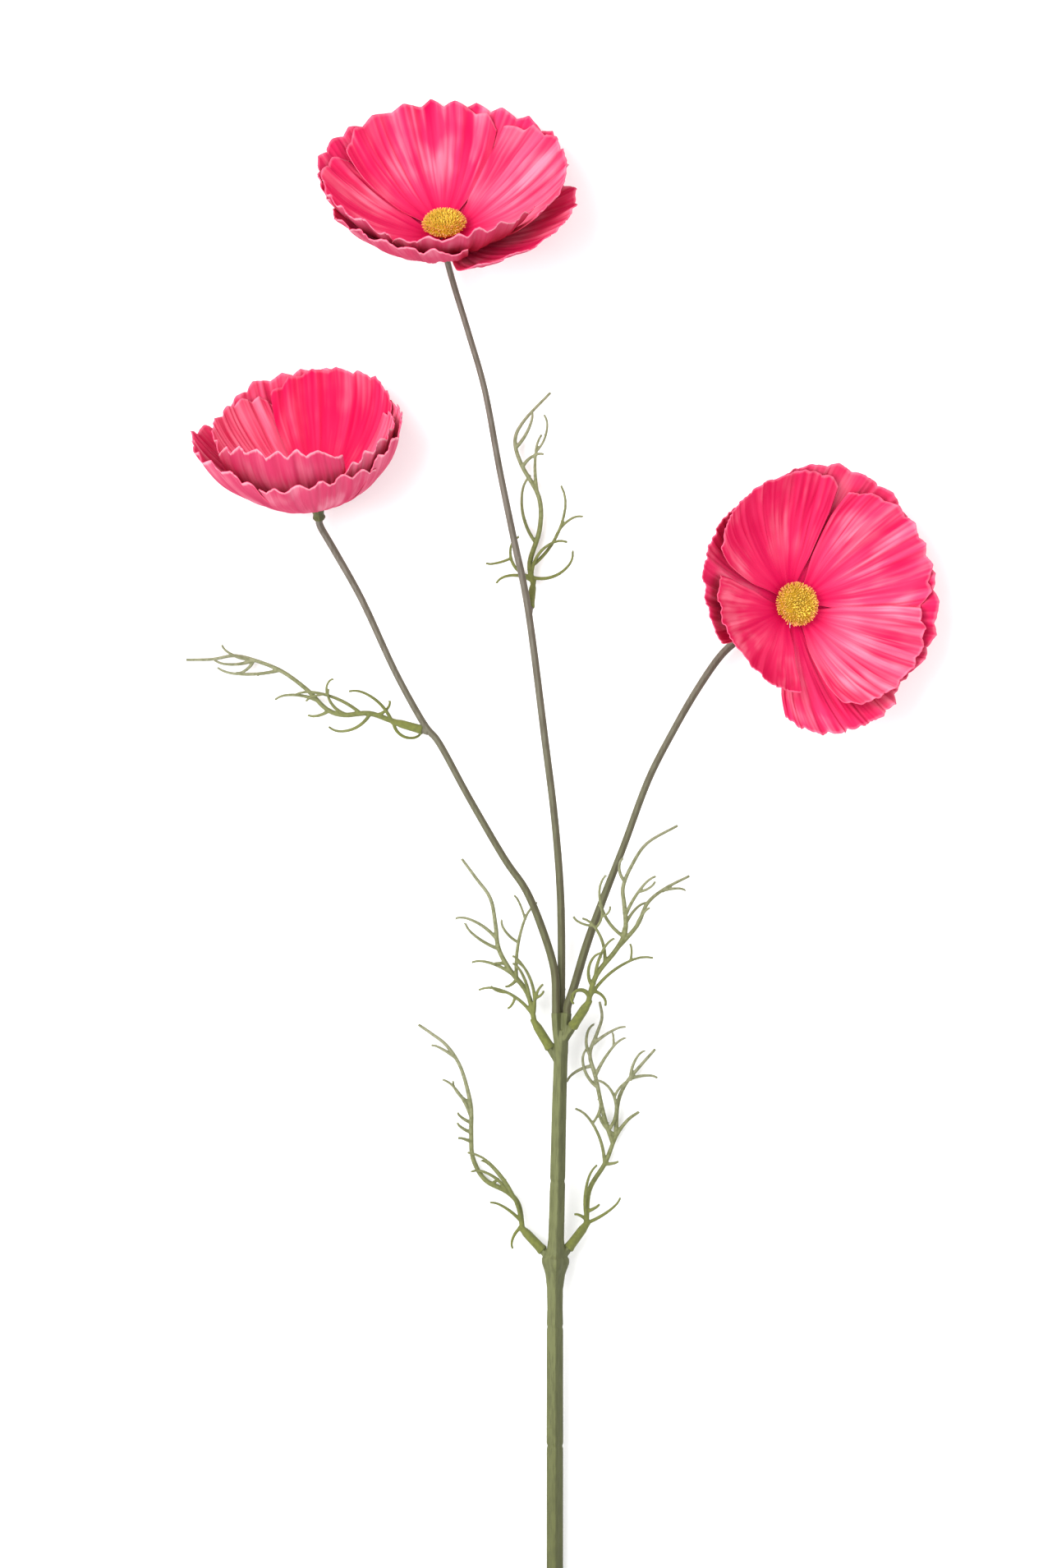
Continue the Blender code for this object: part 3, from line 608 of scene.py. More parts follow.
def tuft_tree() -> bpy.types.NodeTree:
    """Build the tree that covers a bloom's centre with short curled tufts.

    Returns:
        The tree; it takes the dome's mesh and scatters tufts on its upper side.
    """
    tree, given = new_tree("centre_tufts", [
        ("Tufts", "NodeSocketInt"), ("Height", "NodeSocketFloat"),
        ("Thickness", "NodeSocketFloat"), ("Lean", "NodeSocketFloat"),
        ("Radius", "NodeSocketFloat"), ("Seed", "NodeSocketInt"),
        ("Stuff", "NodeSocketMaterial"), ("Ground", "NodeSocketMaterial")])
    place = add_node(tree, "GeometryNodeInputPosition").outputs[0]
    normal = add_node(tree, "GeometryNodeInputNormal").outputs[0]
    facing = add_node(tree, "ShaderNodeSeparateXYZ", {0: normal})
    upper = add_node(tree, "FunctionNodeCompare", {0: facing.outputs[2], 1: -0.25},
                     operation="GREATER_THAN")
    points = add_node(tree, "GeometryNodeDistributePointsOnFaces", {
        "Mesh": given["Geometry"], "Selection": upper.outputs[0],
        "Distance Min": given["Thickness"] * 0.85, "Density Max": given["Tufts"] * 1.0e4,
        "Seed": given["Seed"]}, distribute_method="POISSON")
    # One tuft: a bent, tapering bristle with a club end.
    start = add_node(tree, "GeometryNodeCurvePrimitiveBezierSegment", {
        "Resolution": 5, "Start": (0.0, 0.0, -0.25), "Start Handle": (0.0, 0.0, 0.3),
        "End Handle": (0.1, 0.0, 0.8), "End": (0.55, 0.0, 0.85)})
    along = Field(tree, add_node(tree, "GeometryNodeSplineParameter").outputs["Factor"])
    club = 0.75 + 0.5 * (along * math.pi).do("SINE") + along * 0.2
    ring = add_node(tree, "GeometryNodeCurvePrimitiveCircle", {"Resolution": 5,
                                                               "Radius": 1.0})
    bristle = add_node(tree, "GeometryNodeCurveToMesh", {
        "Curve": start.outputs[0], "Profile Curve": ring.outputs[0],
        "Scale": club * BRISTLE_RADIUS, "Fill Caps": True})
    lean = add_node(tree, "FunctionNodeRandomValue", {0: (-1.0, -1.0, -1.0),
                                                      1: (1.0, 1.0, 1.0),
                                                      "Seed": given["Seed"]},
                    data_type="FLOAT_VECTOR")
    sway = add_node(tree, "ShaderNodeVectorMath", {0: lean.outputs[0], 3: given["Lean"]},
                    operation="SCALE")
    outward = add_node(tree, "ShaderNodeVectorMath", {0: points.outputs["Normal"],
                                                      1: sway.outputs[0]}, operation="ADD")
    stand = add_node(tree, "FunctionNodeAlignRotationToVector", {"Vector": outward.outputs[0]},
                     axis="Z")
    spin = add_node(tree, "FunctionNodeRandomValue", {2: 0.0, 3: math.tau,
                                                      "Seed": given["Seed"]},
                    data_type="FLOAT")
    twist = add_node(tree, "ShaderNodeCombineXYZ", {2: spin.outputs[1]})
    turned = add_node(tree, "FunctionNodeRotateRotation", {
        "Rotation": stand.outputs[0], "Rotate By": twist.outputs[0]}, rotation_space="LOCAL")
    size = Field(tree, add_node(tree, "FunctionNodeRandomValue", {
        2: 0.75, 3: 1.2, "Seed": given["Seed"]}, data_type="FLOAT").outputs[1])
    scale = add_node(tree, "ShaderNodeCombineXYZ", {
        0: size * given["Thickness"], 1: size * given["Thickness"],
        2: size * given["Height"]})
    placed = add_node(tree, "GeometryNodeInstanceOnPoints", {
        "Points": points.outputs["Points"], "Instance": bristle.outputs[0],
        "Rotation": turned.outputs[0], "Scale": scale.outputs[0]})
    random = add_node(tree, "FunctionNodeRandomValue", {2: 0.0, 3: 1.0,
                                                        "Seed": given["Seed"]},
                      data_type="FLOAT")
    spot = add_node(tree, "ShaderNodeSeparateXYZ", {0: place})
    radial = (Field(tree, spot.outputs[0]) ** 2.0
              + Field(tree, spot.outputs[1]) ** 2.0) ** 0.5 / given["Radius"]
    marked = placed.outputs[0]
    for name, value in (("shade", random.outputs[1]), ("rim", radial.step(0.6, 0.95))):
        marked = add_node(tree, "GeometryNodeStoreNamedAttribute", {
            "Geometry": marked, "Name": name, "Value": value},
            data_type="FLOAT", domain="INSTANCE").outputs[0]
    real = add_node(tree, "GeometryNodeRealizeInstances", {"Geometry": marked})
    dressed = add_node(tree, "GeometryNodeSetMaterial", {"Geometry": real.outputs[0],
                                                         "Material": given["Stuff"]})
    ground = add_node(tree, "GeometryNodeSetMaterial", {"Geometry": given["Geometry"],
                                                        "Material": given["Ground"]})
    both = add_node(tree, "GeometryNodeJoinGeometry")
    tree.links.new(ground.outputs[0], both.inputs[0])
    tree.links.new(dressed.outputs[0], both.inputs[0])
    soft = add_node(tree, "GeometryNodeSetShadeSmooth", {"Geometry": both.outputs[0]})
    add_node(tree, "NodeGroupOutput", {"Geometry": soft.outputs[0]})
    return tree


@dataclass
class Bloom:
    """One bloom: where it sits, how its bowl opens, its petals and its flocked centre.

    The bowl's angle above the flat goes from a base to a tip value, and both swing round the
    axis.  The overlap widens the petals, and the skew lifts one side of each over the next.
    """
    name: str
    seat: Tuple[float, float, float]
    axis: Tuple[float, float, float]
    base_angle: float
    tip_angle: float
    base_swing: float
    tip_swing: float
    swing_at: float
    petals: Tuple[Petal, ...]
    seed: int
    cloth_thickness: float = 0.28
    overlap: float = 1.17
    skew: float = 0.8
    columns: int = 121
    rows: int = 61
    teeth: float = 6.6
    tooth: float = 2.5
    pleat: float = 0.5
    crease: float = 0.7
    wave: float = 1.5
    dome: Tuple[Tuple[float, float], ...] = (
        (0.0, 2.4), (3.2, 2.4), (6.1, 3.9), (6.7, 4.8), (6.3, 6.0), (5.2, 7.0), (3.4, 7.5),
        (1.6, 7.2), (0.0, 7.0))

    def matrix(self) -> Matrix:
        """Return the bloom's frame, with Z the way it faces, placed in the model's frame."""
        z = Vector(self.axis).normalized()
        x = (Vector((1, 0, 0)) - z * z.x).normalized()
        made = Matrix((x, z.cross(x), z)).transposed().to_4x4()
        made.translation = Vector(self.seat) * MM + SHIFT
        return made

    def build_petal(self, petal: Petal, number: int, tree: bpy.types.NodeTree,
                    cloth: Sequence[bpy.types.Material]) -> None:
        """Build one petal as cloth with a printed front, a back and a cut edge.

        Args:
            petal: the petal's place and sizes.
            number: its number in the bloom.
            tree: the tree that shapes it.
            cloth: front, back and cut-edge materials.
        """
        obj = new_object(f"cloth_petal_{self.name}_{number}")
        add_tree(obj, tree, {
            "Columns": self.columns, "Rows": self.rows, "Azimuth": petal.azimuth,
            "Ring": petal.ring.value, "Length": petal.length,
            "Spread": petal.spread * self.overlap, "Lift": float(petal.lift),
            "Base angle": float(self.base_angle), "Tip angle": float(self.tip_angle),
            "Base swing": float(self.base_swing), "Tip swing": float(self.tip_swing),
            "Swing at": float(self.swing_at),
            "Teeth": self.teeth, "Tooth": self.tooth, "Pleat": self.pleat,
            "Crease": self.crease, "Wave": self.wave,
            "Seed": float(self.seed + number), "Skew": self.skew, "Painted light": float(petal.tone),
            "Cloth": cloth[1]})
        settle(obj)
        obj.data.transform(self.matrix())
        obj.data.materials.append(cloth[0])
        obj.data.materials.append(cloth[2])
        smooth_shade(obj)
        wall = obj.modifiers.new("cloth", "SOLIDIFY")
        wall.thickness = self.cloth_thickness * MM
        wall.offset = 0.0
        wall.material_offset = 1
        wall.material_offset_rim = 2
        settle(obj)
        hand_over(obj, f"petal_{self.name}_{number}")

    def dome_mesh(self) -> bpy.types.Mesh:
        """Return the dome that the tufts stand on: its outline turned round the axis."""
        foot, *rings, crown = self.dome
        spots = [(0.0, 0.0, foot[1] * MM), (0.0, 0.0, crown[1] * MM)]
        for radius, height in rings:
            for turn in range(DOME_SIDES):
                phi = math.tau * turn / DOME_SIDES
                spots.append((radius * MM * math.cos(phi), radius * MM * math.sin(phi),
                              height * MM))
        faces = []
        last = 2 + DOME_SIDES * (len(rings) - 1)
        for turn in range(DOME_SIDES):
            ahead = (turn + 1) % DOME_SIDES
            faces.append((0, 2 + ahead, 2 + turn))
            faces.append((1, last + turn, last + ahead))
            for low in range(2, last, DOME_SIDES):
                high = low + DOME_SIDES
                faces.append((low + turn, low + ahead, high + ahead, high + turn))
        mesh = bpy.data.meshes.new("dome")
        mesh.from_pydata(spots, [], faces)
        return mesh

    def build_centre(self, tree: bpy.types.NodeTree, tuft: bpy.types.Material,
                     ground: bpy.types.Material) -> None:
        """Build the flocked centre: a dimpled dome covered with tufts."""
        obj = new_object(f"flocked_centre_{self.name}", self.dome_mesh())
        add_tree(obj, tree, {"Tufts": 1200, "Height": 1.05 * MM, "Thickness": 0.5 * MM,
                             "Lean": 0.35, "Radius": 6.7 * MM, "Seed": self.seed,
                             "Stuff": tuft, "Ground": ground})
        settle(obj)
        obj.data.transform(self.matrix())
        hand_over(obj, f"disc_{self.name}")

    def build(self, trees: Sequence[bpy.types.NodeTree], cloth: Sequence[bpy.types.Material],
              tuft: bpy.types.Material, ground: bpy.types.Material) -> None:
        """Build the bloom's petals and centre.

        Args:
            trees: the petal tree and the tuft tree.
            cloth: front, back and cut-edge materials.
            tuft: material of the tufts.
            ground: material of the dome under them.
        """
        for number, petal in enumerate(self.petals, 1):
            self.build_petal(petal, number, trees[0], cloth)
        self.build_centre(trees[1], tuft, ground)


# ---- moulded pieces --------------------------------------------------------------------------
Path = List[Tuple[float, float, float, float]]
PATH_STEP = 0.5          # length of one span of a tube


def rounded(points: Sequence[Sequence[float]], steps: int) -> Path:
    """Return a smooth path through points of (x, y, z, radius).

    Args:
        points: the points that the path passes through.
        steps: how many spans lie between each pair of points.
    """
    rows = [Vector(p) for p in points]
    ends = [rows[0] * 2 - rows[1]] + rows + [rows[-1] * 2 - rows[-2]]
    out = []
    for a, b, c, d in zip(ends, ends[1:], ends[2:], ends[3:]):
        for i in range(steps):
            t = i / steps
            out.append(tuple(0.5 * (2 * b + (c - a) * t + (2 * a - 5 * b + 4 * c - d) * t * t
                                    + (3 * b - a - 3 * c + d) * t ** 3)))
    return out + [tuple(rows[-1])]


def along(path: Path, share: float) -> Vector:
    """Return the point, with its radius, at a share of a path's length."""
    rows = [Vector(p) for p in path]
    spans = [(b.to_3d() - a.to_3d()).length for a, b in zip(rows, rows[1:])]
    left = share * sum(spans)
    for a, b, span in zip(rows, rows[1:], spans):
        if left <= span:
            return a.lerp(b, left / span)
        left -= span
    return rows[-1]


def profile_path(start: Vector, aim: Vector,
                 rows: Sequence[Tuple[float, float]]) -> Path:
    """Return a straight path with a radius for each distance from its start.

    Args:
        start: where the path starts.
        aim: its direction, of length one.
        rows: pairs of distance and radius.
    """
    return [(*(start + aim * far), radius) for far, radius in rows]


def skin_tree() -> bpy.types.NodeTree:
    """Build the tree that turns paths into moulded tubes with a ridge and small nubs.

    Returns:
        The tree; it takes a curve whose radius is in metres.
    """
    tree, given = new_tree("moulded_skin", [
        ("Step", "NodeSocketFloat"), ("Sides", "NodeSocketInt"),
        ("Ridges", "NodeSocketFloat"), ("Ridge depth", "NodeSocketFloat"),
        ("Nub spacing", "NodeSocketFloat"), ("Nub size", "NodeSocketFloat"),
        ("Seed", "NodeSocketInt"), ("Stuff", "NodeSocketMaterial")])
    line = add_node(tree, "GeometryNodeResampleCurve", {"Curve": given["Geometry"],
                                                        "Length": given["Step"]},
                    mode="LENGTH")
    ring = add_node(tree, "GeometryNodeCurvePrimitiveCircle", {
        "Resolution": given["Sides"], "Radius": 1.0})
    turn = Field(tree, add_node(tree, "GeometryNodeSplineParameter").outputs["Factor"])
    bulge = 1.0 + (turn * math.tau * given["Ridges"]).do("COSINE") * given["Ridge depth"]
    place = add_node(tree, "GeometryNodeInputPosition").outputs[0]
    lobed = add_node(tree, "ShaderNodeVectorMath", {0: place, 3: bulge}, operation="SCALE")
    shaped = add_node(tree, "GeometryNodeSetPosition", {"Geometry": ring.outputs[0],
                                                        "Position": lobed.outputs[0]})
    radius = add_node(tree, "GeometryNodeInputRadius").outputs[0]
    tube = add_node(tree, "GeometryNodeCurveToMesh", {
        "Curve": line.outputs[0], "Profile Curve": shaped.outputs[0], "Scale": radius,
        "Fill Caps": True})
    spots = add_node(tree, "GeometryNodeCurveToPoints", {
        "Curve": given["Geometry"], "Length": given["Nub spacing"]}, mode="LENGTH")
    scatter = add_node(tree, "FunctionNodeRandomValue", {
        0: (-1.0, -1.0, -1.0), 1: (1.0, 1.0, 1.0), "Seed": given["Seed"]},
        data_type="FLOAT_VECTOR")
    aside = add_node(tree, "ShaderNodeVectorMath", {0: scatter.outputs[0]},
                     operation="NORMALIZE")
    out = add_node(tree, "ShaderNodeVectorMath", {0: aside.outputs[0], 3: radius},
                   operation="SCALE")
    moved = add_node(tree, "GeometryNodeSetPosition", {"Geometry": spots.outputs[0],
                                                       "Offset": out.outputs[0]})
    ball = add_node(tree, "GeometryNodeMeshIcoSphere", {"Radius": 1.0, "Subdivisions": 2})
    size = Field(tree, add_node(tree, "FunctionNodeRandomValue", {
        2: 0.3, 3: 1.0, "Seed": given["Seed"]}, data_type="FLOAT").outputs[1])
    nubs = add_node(tree, "GeometryNodeInstanceOnPoints", {
        "Points": moved.outputs[0], "Instance": ball.outputs[0],
        "Scale": size * given["Nub size"]})
    both = add_node(tree, "GeometryNodeJoinGeometry")
    tree.links.new(nubs.outputs[0], both.inputs[0])
    tree.links.new(tube.outputs[0], both.inputs[0])
    real = add_node(tree, "GeometryNodeRealizeInstances", {"Geometry": both.outputs[0]})
    dressed = add_node(tree, "GeometryNodeSetMaterial", {"Geometry": real.outputs[0],
                                                         "Material": given["Stuff"]})
    add_node(tree, "NodeGroupOutput", {"Geometry": dressed.outputs[0]})
    return tree


@dataclass
class Moulding:
    """A piece moulded in one: tubes along paths, fused into one skin.

    The skin's grid is one voxel fine, and it is smoothed for as many rounds as relax says.
    The bore is a hole given by its two ends and its radius.
    """
    node: str
    name: str
    slot: Slot
    voxel: float
    relax: int
    sides: int = 16
    ridges: float = 4.0
    ridge_depth: float = 0.0
    nub_spacing: float = 6.0
    nub_size: float = 0.3
    seed: int = 1
    root: Optional[Vector] = None
    bore: Optional[Tuple[Vector, Vector, float]] = None

    def paths(self) -> List[Path]:
        """Return the paths of the piece's tubes, in millimetres."""
        return []

    def path_object(self) -> bpy.types.Object:
        """Return a curve object with a line, and its radii, for each path."""
        curve = bpy.data.curves.new(self.name + "_paths", "CURVE")
        curve.dimensions = "3D"
        for path in self.paths():
            spline = curve.splines.new("POLY")
            spline.points.add(len(path) - 1)
            for point, row in zip(spline.points, path):
                point.co = (*(Vector(row[:3]) * MM + SHIFT), 1.0)
                point.radius = row[3] * MM
        line = bpy.data.objects.new(curve.name, curve)
        bpy.context.scene.collection.objects.link(line)
        return line

    def build(self, tree: bpy.types.NodeTree, stuff: bpy.types.Material) -> None:
        """Mould the piece and hand it over.

        Args:
            tree: the tree that gives paths their skin.
            stuff: the piece's material.
        """
        line = self.path_object()
        add_tree(line, tree, {
            "Step": PATH_STEP * MM, "Sides": self.sides, "Ridges": self.ridges,
            "Ridge depth": self.ridge_depth, "Nub spacing": self.nub_spacing * MM,
            "Nub size": self.nub_size * MM, "Seed": self.seed, "Stuff": stuff})
        obj = new_object(self.name, evaluated_mesh(line))
        curve = line.data
        bpy.data.objects.remove(line, do_unlink=True)
        bpy.data.curves.remove(curve)
        skin = obj.modifiers.new("skin", "REMESH")
        skin.mode = "VOXEL"
        skin.voxel_size = self.voxel * MM
        even = obj.modifiers.new("even", "SMOOTH")
        even.factor = 0.5
        even.iterations = self.relax
        settle(obj)
        self.cut_bore(obj)
        self.mark(obj)
        obj.data.materials.clear()
        obj.data.materials.append(stuff)
        smooth_shade(obj)
        hand_over(obj, self.node)

    def cut_bore(self, obj: bpy.types.Object) -> None:
        """Drill the hole that the wire lies in, where the piece has one."""
        if self.bore is None:
            return
        start, end, radius = self.bore
        bm = bmesh.new()
        bmesh.ops.create_cone(bm, cap_ends=True, segments=24, radius1=radius * MM,
                              radius2=radius * MM, depth=(end - start).length * MM)
        turn = (end - start).to_track_quat("Z", "Y").to_matrix().to_4x4()
        turn.translation = (start + end) / 2 * MM + SHIFT
        bm.transform(turn)
        drill = new_object(self.name + "_drill")
        bm.to_mesh(drill.data)
        bm.free()
        hole = obj.modifiers.new("hole", "BOOLEAN")
        hole.operation = "DIFFERENCE"
        hole.solver = "EXACT"
        hole.object = drill
        settle(obj)
        bpy.data.objects.remove(drill, do_unlink=True)

    def mark(self, obj: bpy.types.Object) -> None:
        """Store how far each point is from the root, and how far it faces +X, the side that gets
        painted shade.
        """
        mesh = obj.data
        facing = np.array([normal.vector.x for normal in mesh.vertex_normals], np.float32)
        mesh.attributes.new("side", "FLOAT", "POINT").data.foreach_set("value", facing)
        spots = np.empty(len(mesh.vertices) * 3, np.float32)
        mesh.vertices.foreach_get("co", spots)
        spots = spots.reshape(-1, 3)
        if self.root is not None:
            base = np.array(self.root * MM + SHIFT)
            reach = np.linalg.norm(spots - base, axis=1)
            layer = mesh.attributes.new("reach", "FLOAT", "POINT")
            layer.data.foreach_set("value", (reach / reach.max()).astype(np.float32))


# Main stem: (x, y, z, radius).  It swells at the leaf collar and splits at the fork.
STEM = ((0, -70, 2.65, 2.62), (0, -40, 3.73, 2.62), (0, 0, 5.17, 2.6), (0, 39.2, 6.6, 2.6),
        (0, 40, 6.63, 2.3), (0, 40.8, 6.66, 2.65), (0, 60, 7.33, 2.6), (0, 80.2, 8.1, 2.6),
        (0, 81, 8.15, 2.35), (0, 81.8, 8.2, 2.6), (0, 87, 8.4, 2.45), (0, 94, 8.6, 2.55),
        (0.1, 99, 8.8, 3.1), (0.2, 103, 9.0, 4.3), (0.2, 104.6, 9.0, 4.3),
        (0.3, 106.2, 9.12, 3.0), (0.4, 111, 9.27, 2.5), (0.9, 130.4, 9.9, 2.4),
        (0.9, 131.2, 9.95, 2.1), (0.9, 132, 10.0, 2.4), (1.4, 156, 10.8, 2.3),
        (1.9, 172, 11.5, 2.2), (2.1, 179, 11.8, 2.3), (2.2, 183, 12, 2.0))
FORK = Vector((2.2, 188.7, 12.0))
SPLIT = (1.95, 173.0, 11.5)

# Branches after the fork: socket offset (x, z) from the fork, then points (x, y, z, radius).
BRANCHES = {
    "top": ((0.0, -1.75), ((2.2, 192, 10.25, 1.3), (2.0, 226, 11, 1.3), (0, 254, 11.6, 1.25),
            (-3.4, 282, 12, 1.25), (-9.2, 327, 12, 1.2), (-14.3, 352, 12, 1.15),
            (-19, 375, 11.8, 1.1), (-24, 402, 11.2, 1.05), (-29.7, 422, 10.2, 1.05),
            (-34.6, 438, 9.8, 1.05))),
    "left": ((-1.9, 1.2), ((0.3, 192, 13.2, 1.35), (-0.3, 204, 13.4, 1.35),
             (-4.5, 218, 13.6, 1.3), (-10, 231, 13.6, 1.25), (-17.5, 242, 13.4, 1.2),
             (-29.7, 263, 12.8, 1.15), (-39.5, 281, 12, 1.15), (-45, 288, 11.6, 1.15),
             (-54.9, 306, 10.6, 1.1), (-66, 330, 9.2, 1.15), (-75.5, 347, 7.9, 1.2))),
    "right": ((1.9, 1.0), ((4.3, 191.5, 13, 1.4), (6.7, 198.5, 13, 1.4), (10.9, 212.5, 13, 1.4),
              (16.5, 228, 12.8, 1.3), (23.5, 246, 12.4, 1.2), (31.9, 268.5, 11.6, 1.2),
              (40.3, 285, 10.8, 1.2), (48.7, 299.5, 9.4, 1.25), (57.5, 312, 7.4, 1.3),
              (66, 319, 4.0, 1.3), (72, 323.2, 1.8, 1.3), (76, 325.4, 1.3, 1.3))),
}


@dataclass
class MainStem(Moulding):
    """The main stem: ridged, with mould rings, a leaf collar and a stub for each branch."""
    stub: float = 1.5

    def paths(self) -> List[Path]:
        """Return the stem, the stub under each branch and the lugs under the leaves."""
        out = [list(STEM)]
        for offset, _ in BRANCHES.values():
            mouth = FORK + Vector((offset[0], 0.3, offset[1]))
            low = Vector(SPLIT)
            mid = low.lerp(mouth, 0.55) + Vector((offset[0] * 0.12, 0, offset[1] * 0.12))
            out.append(rounded(((*low, 1.3), (*mid, self.stub), (*mouth, self.stub)), 5))
        return out + lugs("stem")


@dataclass
class Branch(Moulding):
    """One branch from its socket in the fork to its calyx, with the lug of its leaf."""
    bloom: Optional[Bloom] = None

    def paths(self) -> List[Path]:
        """Return the branch and its lug."""
        offset, points = BRANCHES[self.bloom.name]
        mouth = FORK + Vector((offset[0], 0, offset[1]))
        axis, seat = Vector(self.bloom.axis).normalized(), Vector(self.bloom.seat)
        foot = seat + axis * (CALYX_TOP - CALYX_LONG)
        last = points[-1][3]
        body = [(*(mouth - Vector((0, 3.0, 0))), 0.9), (*(mouth + Vector((0, 0.4, 0))), 1.38)]
        body += list(points) + [(*(foot - axis * 3.0), last), (*(foot + axis * 0.4), last)]
        return [rounded(body, 5)] + lugs(self.bloom.name)


@dataclass
class Calyx(Moulding):
    """The cup under one bloom, with its knobbed foot and the post that holds the centre."""
    bloom: Optional[Bloom] = None

    def paths(self) -> List[Path]:
        """Return the cup and its post."""
        axis, seat = Vector(self.bloom.axis).normalized(), Vector(self.bloom.seat)
        foot = CALYX_TOP - CALYX_LONG
        return [profile_path(seat, axis, (
            (foot, 1.75), (foot + 0.5, 2.15), (foot + 1.2, 2.1), (foot + 1.9, 1.75),
            (foot + 3.2, 2.1), (foot + 4.6, 2.65), (CALYX_TOP - 0.4, 2.95), (CALYX_TOP, 2.8),
            (CALYX_TOP + 0.05, 1.4), (3.2, 1.4)))]


# ---- leaves ------------------------------------------------------------------------------
STRAND_RADIUS = (0.95, 0.5)
THREAD_RADIUS = (0.64, 0.4)
SLEEVE_LONG = 10.5
LEAF_CARRIER = {"a": "top", "b": "left", "c": "stem", "d": "stem", "e": "stem", "f": "stem"}


@dataclass
class LeafSprig(Moulding):
    """One feathery leaf: a sleeve that plugs on a lug, main strands and side threads."""
    start: Tuple[float, float, float] = (0.0, 0.0, 0.0)
    aim: Tuple[float, float, float] = (0.0, 1.0, 0.0)
    bare: float = 5.0
    sleeve: float = 1.6
    strands: Tuple[Any, ...] = ()
    threads: Tuple[Any, ...] = ()
    curl: float = 1.5

    def __post_init__(self) -> None:
        """Measure the leaf's reach from the mouth of its sleeve."""
        self.root = Vector(self.start) + Vector(self.aim).normalized() * self.bare

    def thread(self, parent: Path, share: float, heading: float, length: float, turn: float,
               rise: float) -> Path:
        """Return one side thread: an arc in plan that leaves its parent and grows thinner.

        Args:
            parent: the path that it leaves.
            share: how far along the parent it starts.
            heading: its first direction in plan, in degrees from +X.
            length: its length.
            turn: how far it turns, in degrees.
            rise: how far it rises.
        """
        start = along(parent, share)
        x, y, z = start[:3]
        first = min(THREAD_RADIUS[0], start[3] * 0.92)
        path = [(x, y, z, first)]
        parts = 12
        bend = turn * self.curl + math.copysign(16.0, turn if turn else 1.0)
        for i in range(parts):
            far = (i + 0.5) / parts
            hook = math.copysign(22.0, bend) * max(0.0, far - 0.75) * 4.0
            angle = math.radians(heading + turn / 2 + bend * (far - 0.5) + hook)
            x += length / parts * math.cos(angle)
            y += length / parts * math.sin(angle)
            z += rise / parts
            thin = first + (THREAD_RADIUS[1] - first) * ((i + 1) / parts) ** 1.5
            path.append((x, y, max(z, 0.7), thin))
        return path

    def paths(self) -> List[Path]:
        """Return the sleeve, the strands and the threads."""
        root, aim = Vector(self.start), Vector(self.aim).normalized()
        mouth = root + aim * self.bare
        tip = mouth + aim * SLEEVE_LONG
        wide = self.sleeve
        out = [profile_path(mouth, aim, (
            (-1.6, wide), (-1.3, wide + 0.15), (-0.6, wide + 0.12), (0.2, wide - 0.05),
            (5.5, wide - 0.15), (7.0, wide - 0.2), (8.4, wide - 0.5), (SLEEVE_LONG, 1.0)))]
        rough = [self.taper((tuple(tip - aim * 1.5),) + self.strands[0], STRAND_RADIUS[0])]
        rough += [self.taper(points, 0.8) for points in self.strands[1:]]
        for row in self.threads:
            rough.append(self.thread(rough[row[0]], *row[1:]))
        count = len(self.strands)
        return out + [rounded(path, 5) for path in rough[:count]] + rough[count:]

    def taper(self, points: Sequence[Sequence[float]], first: float) -> Path:
        """Return a strand that tapers from a first radius to the tip's."""
        last = STRAND_RADIUS[1]
        count = len(points) - 1
        return [(*p, first + (last - first) * (i / count) ** 1.4) for i, p in enumerate(points)]


def lugs(carrier: str) -> List[Path]:
    """Return the lugs that one carrier, the stem or a branch, holds out for its leaves."""
    rods = []
    for name, start, aim, bare, sleeve, _, _ in LEAVES:
        if LEAF_CARRIER[name] == carrier:
            way = Vector(aim).normalized()
            rods.append(profile_path(Vector(start), way, (
                (0.0, sleeve - 0.35), (bare - 0.6, sleeve - 0.45), (bare + 0.4, sleeve - 0.5))))
    return rods


# A petal's last number, where given, is its painted light: a painted highlight above 0, painted
# shade below 0.
TOP = Bloom("top", (-37.5, 454.0, 19.4), (-0.05, 0.74, 0.67), base_angle=6, tip_angle=56,
            base_swing=-3, tip_swing=12, swing_at=-115, seed=11, petals=(
    Petal(106, Ring.INNER, 50.5, 39, 0, -0.25), Petal(12, Ring.INNER, 50, 41, 0, 0.35),
    Petal(-72, Ring.INNER, 47, 42, 2), Petal(-165, Ring.INNER, 49, 42, 0, -0.2),
    Petal(146, Ring.OUTER, 50, 42), Petal(60, Ring.OUTER, 50, 42),
    Petal(-31, Ring.OUTER, 46, 43, 7), Petal(-124, Ring.OUTER, 45, 44)))
LEFT = Bloom("left", (-81.5, 363.5, 15.2), (-0.12, 0.84, 0.53), base_angle=11, tip_angle=82,
             base_swing=0, tip_swing=2, swing_at=-90, seed=31, petals=(
    Petal(68, Ring.INNER, 50, 42, 0, -0.6), Petal(160, Ring.INNER, 46.5, 42, 0, 0.75),
    Petal(-20, Ring.INNER, 44, 42, 0, 0.55), Petal(-108, Ring.INNER, 52, 42, 0, -0.5),
    Petal(102, Ring.OUTER, 49, 42, 0, 0.4), Petal(-1, Ring.OUTER, 44.5, 39, 0, 0.5),
    Petal(-82, Ring.OUTER, 41, 39, 2.5), Petal(-163, Ring.OUTER, 47, 40, 5)))
